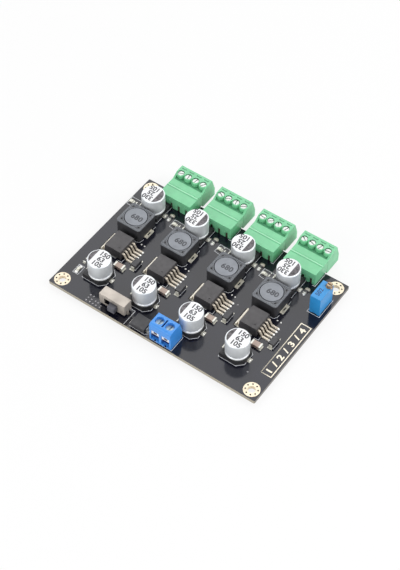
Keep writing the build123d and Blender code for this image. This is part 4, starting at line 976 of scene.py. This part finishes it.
class CONVERTER_OT_solder(bpy.types.Operator):
    """Adds the solder: fillets at the feet and chip ends, mounds on pads and cones under the board."""

    bl_idname = "converter.solder"
    bl_label = "Solder"

    def execute(self, context):
        bright = tin("bright solder", (226, 226, 222), 0.26, mottle=0.08, scale=900.0)
        # Near-white solder for the lead tips and round blobs: a painted highlight.
        white = tin("white solder highlight", (250, 250, 246), 0.3, mottle=0.05, scale=900.0, metallic=0.25)
        grey = tin("dull solder", (176, 170, 158), 0.42, mottle=0.25, scale=900.0, relief=0.03, metallic=0.3)
        fillets = []
        tips = []
        dull = []
        under = []
        pin_row = corners("header_pins")[0][1] + 0.45
        for channel in CHANNELS:
            high, middle = corners(f"regulator_body_{channel}")[1:]
            foot = high[0] + 5.0
            for lead in range(-2, 3):
                y = middle[1] + lead * LEAD_PITCH
                fillets.append(pillow((foot - 0.95, y, PAD_TOP), (1.35, 0.46, 0.3), 2.6))
                tips.append(pillow((foot + 0.1, y, PAD_TOP + 0.12), (0.55, 0.5, 0.42), 2.4))
            for kind in ("input", "output"):
                x, y = corners(f"{kind}_capacitor_can_{channel}")[2][:2]
                fillets += [pillow((x + way * 5.85, y, PAD_TOP), (0.45, 0.55, 0.26), 2.6) for way in (-1, 1)]
            tips.append(pillow((x + 8.4, BOARD_LOW[1] + 54.2, PAD_TOP), (0.75, 0.6, 0.5), 2.4))
            dull.append(pillow((x + 8.45, BOARD_LOW[1] + 57.1, PAD_TOP), (1.2, 0.95, 0.66), 2.4))
            under += [(x, pin_row, 0.95) for x, y in clamp_places(channel)]
        x, y = on_board(6.3, 11.7)
        tips += [pillow((x, y + way * 1.6, PAD_TOP), (0.85, 0.5, 0.4), 2.6) for way in (-1, 1)]
        make_piece("solder_fillets", fillets, bright)
        make_piece("solder_tips", tips, white)
        make_piece("dull_solder", dull, grey)
        low, high, middle = corners("input_terminal_pins")
        under += [(x, middle[1], 1.1) for x in (low[0] + 0.5, high[0] - 0.5)]
        low, high, middle = corners("trimmer_pins")
        under += [(middle[0], y, 0.7) for y in (low[1] + 0.25, middle[1], high[1] - 0.25)]
        low, high, middle = corners("switch_pins")
        under += [(x, high[1] - 0.25, 0.8) for x in (low[0] + 0.4, middle[0], high[0] - 0.4)]
        cones = []
        tip, tall, over = -1.15, 1.13, 0.01
        rise = np.linspace(0, 1, 8)
        for x, y, reach in under:
            side = np.column_stack([0.5 * reach + 0.5 * reach * rise**2.2, tip + tall * rise])
            cones.append(revolved(np.vstack([[(0, tip)], side, [(reach, over), (0, over)]]), (x, y), 28))
        make_piece("solder_cones", cones, bright)
        dots = [on_board(*place) for place in (
            (19.28, 37.17), (20.94, 37.1), (41.7, 37.2), (43.4, 37.1), (64.8, 37.2), (66.4, 37.1),
            (86.8, 37.2), (88.5, 37.1), (71.6, 55.8), (48.3, 55.6),
        )]
        dome = pillow((0, 0, BOARD_TOP), (0.38, 0.38, 0.2), 2.2)
        make_piece("tinned_dots", [repeated(dome, dots)], bright)
        return {"FINISHED"}


class CONVERTER_OT_stage(bpy.types.Operator):
    """Sets the pale floor, the soft light and the camera."""

    bl_idname = "converter.stage"
    bl_label = "Stage"

    def execute(self, context):
        scene = context.scene
        scene.view_settings.view_transform = "Standard"
        self.floor()
        self.lights(scene)
        self.camera(scene)
        return {"FINISHED"}

    def floor(self):
        """A level sheet that rises behind in a quarter circle."""
        level = CAD_BOX[0].z / MM - 0.02
        front, back, bend, half = -1500, 900, 400, 1800
        run = np.linspace(front, back, 25)
        curve = arc((back, level + bend), bend, -90, 0, 13)
        profile = np.vstack([np.column_stack([run, np.full(len(run), level)]), curve[1:]])
        across = np.linspace(-half, half, 9)
        points = np.array([(x, y, z) for y, z in profile for x in across])
        mesh = bpy.data.meshes.new("floor")
        mesh.from_pydata((points * MM).tolist(), [], grid_faces(len(profile), len(across)))
        mesh.shade_smooth()
        sheet = bpy.data.objects.new("floor", mesh)
        bpy.context.scene.collection.objects.link(sheet)
        mesh.materials.append(self.paper())

    def seen(self, tree):
        """One for the rays of the camera and of mirrors, nought for the light's own."""
        ray = add(tree, "LightPath").outputs
        return reckoned(tree, "MAXIMUM", ray["Is Camera Ray"], ray["Is Glossy Ray"])

    def paper(self):
        """Matt paper that the camera and mirrors see nearly white, with the object's shadow kept."""
        material = bpy.data.materials.new("stage paper")
        material.use_nodes = True
        tree = material.node_tree
        tree.nodes.remove(tree.nodes["Principled BSDF"])
        matt = add(tree, "BsdfDiffuse", {"Color": (0.86, 0.86, 0.86, 1.0)})
        glow = add(tree, "Emission", {"Color": WHITE})
        amount = reckoned(tree, "MULTIPLY", self.seen(tree), 0.85)
        mix = add(tree, "MixShader", {0: amount, 1: matt.outputs[0], 2: glow.outputs[0]})
        tree.links.new(mix.outputs[0], tree.nodes["Material Output"].inputs["Surface"])
        return material

    def lights(self, scene):
        """A white world, dimmer for the light than for the eye, and three square lamps."""
        world = bpy.data.worlds.new("studio")
        world.use_nodes = True
        scene.world = world
        tree = world.node_tree
        back = tree.nodes["Background"].inputs
        back["Color"].default_value = WHITE
        tree.links.new(ramped(tree, self.seen(tree), 0.0, 1.0, 0.5, 1.0), back["Strength"])
        for name, place, size, power in (
            ("key", (0.72, 0.2, 0.58), 0.5, 4.2),
            ("fill", (-0.12, -0.75, 0.35), 0.6, 3.0),
            ("panel", (-0.43, 0.6, 0.94), 0.9, 4.6),
        ):
            lamp = bpy.data.lights.new(name, "AREA")
            lamp.size = size
            lamp.energy = power
            holder = bpy.data.objects.new(name, lamp)
            scene.collection.objects.link(holder)
            place = Vector(place)
            holder.matrix_world = Matrix.LocRotScale(place, (-place).to_track_quat("-Z", "Y"), None)

    def camera(self, scene):
        """The photograph's own viewpoint, solved from the board's corners and holes."""
        place = Vector((206.08, -288.32, 452.53)) * MM
        look = Vector((-0.35811, 0.50257, -0.78688)).normalized()
        up = Vector((-0.45751, 0.64021, 0.61711))
        focal_pixels, picture_pixels, sensor = 1414.6, 570, 36.0
        right = look.cross(up).normalized()
        up = right.cross(look).normalized()
        lens = bpy.data.cameras.new("camera")
        lens.sensor_fit = "AUTO"
        lens.sensor_width = sensor
        lens.lens = focal_pixels / picture_pixels * sensor
        lens.clip_start = 0.01
        lens.clip_end = 20.0
        holder = bpy.data.objects.new("camera", lens)
        scene.collection.objects.link(holder)
        turn = Matrix((right, up, -look)).transposed().to_4x4()
        turn.translation = place
        holder.matrix_world = turn
        scene.camera = holder


class CONVERTER_PT_panel(bpy.types.Panel):
    """Lists the steps and the settings."""

    bl_label = "Converter"
    bl_idname = "CONVERTER_PT_panel"
    bl_space_type = "VIEW_3D"
    bl_region_type = "UI"
    bl_category = "Converter"

    def draw(self, context):
        for group in (context.scene.converter_colours, context.scene.converter_sizes):
            for name in group.__annotations__:
                self.layout.prop(group, name)
        for step in STEPS:
            self.layout.operator(step.bl_idname)


STEPS = (
    CONVERTER_OT_board,
    CONVERTER_OT_capacitors,
    CONVERTER_OT_inductors,
    CONVERTER_OT_regulators,
    CONVERTER_OT_outputs,
    CONVERTER_OT_controls,
    CONVERTER_OT_print,
    CONVERTER_OT_solder,
    CONVERTER_OT_stage,
)
CLASSES = (ConverterColours, ConverterSizes, *STEPS, CONVERTER_PT_panel)


def register():
    for item in CLASSES:
        bpy.utils.register_class(item)
    bpy.types.Scene.converter_colours = bpy.props.PointerProperty(type=ConverterColours)
    bpy.types.Scene.converter_sizes = bpy.props.PointerProperty(type=ConverterSizes)


def unregister():
    del bpy.types.Scene.converter_colours
    del bpy.types.Scene.converter_sizes
    for item in reversed(CLASSES):
        bpy.utils.unregister_class(item)


def main():
    register()
    for group in (moulded_grain(), drawn_metal(), solder_skin(), buried_copper(), corner_line()):
        GROUPS[group.name] = group
    for step in STEPS:
        section, name = step.bl_idname.split(".")
        getattr(getattr(bpy.ops, section), name)()


if __name__ == "__main__":
    main()
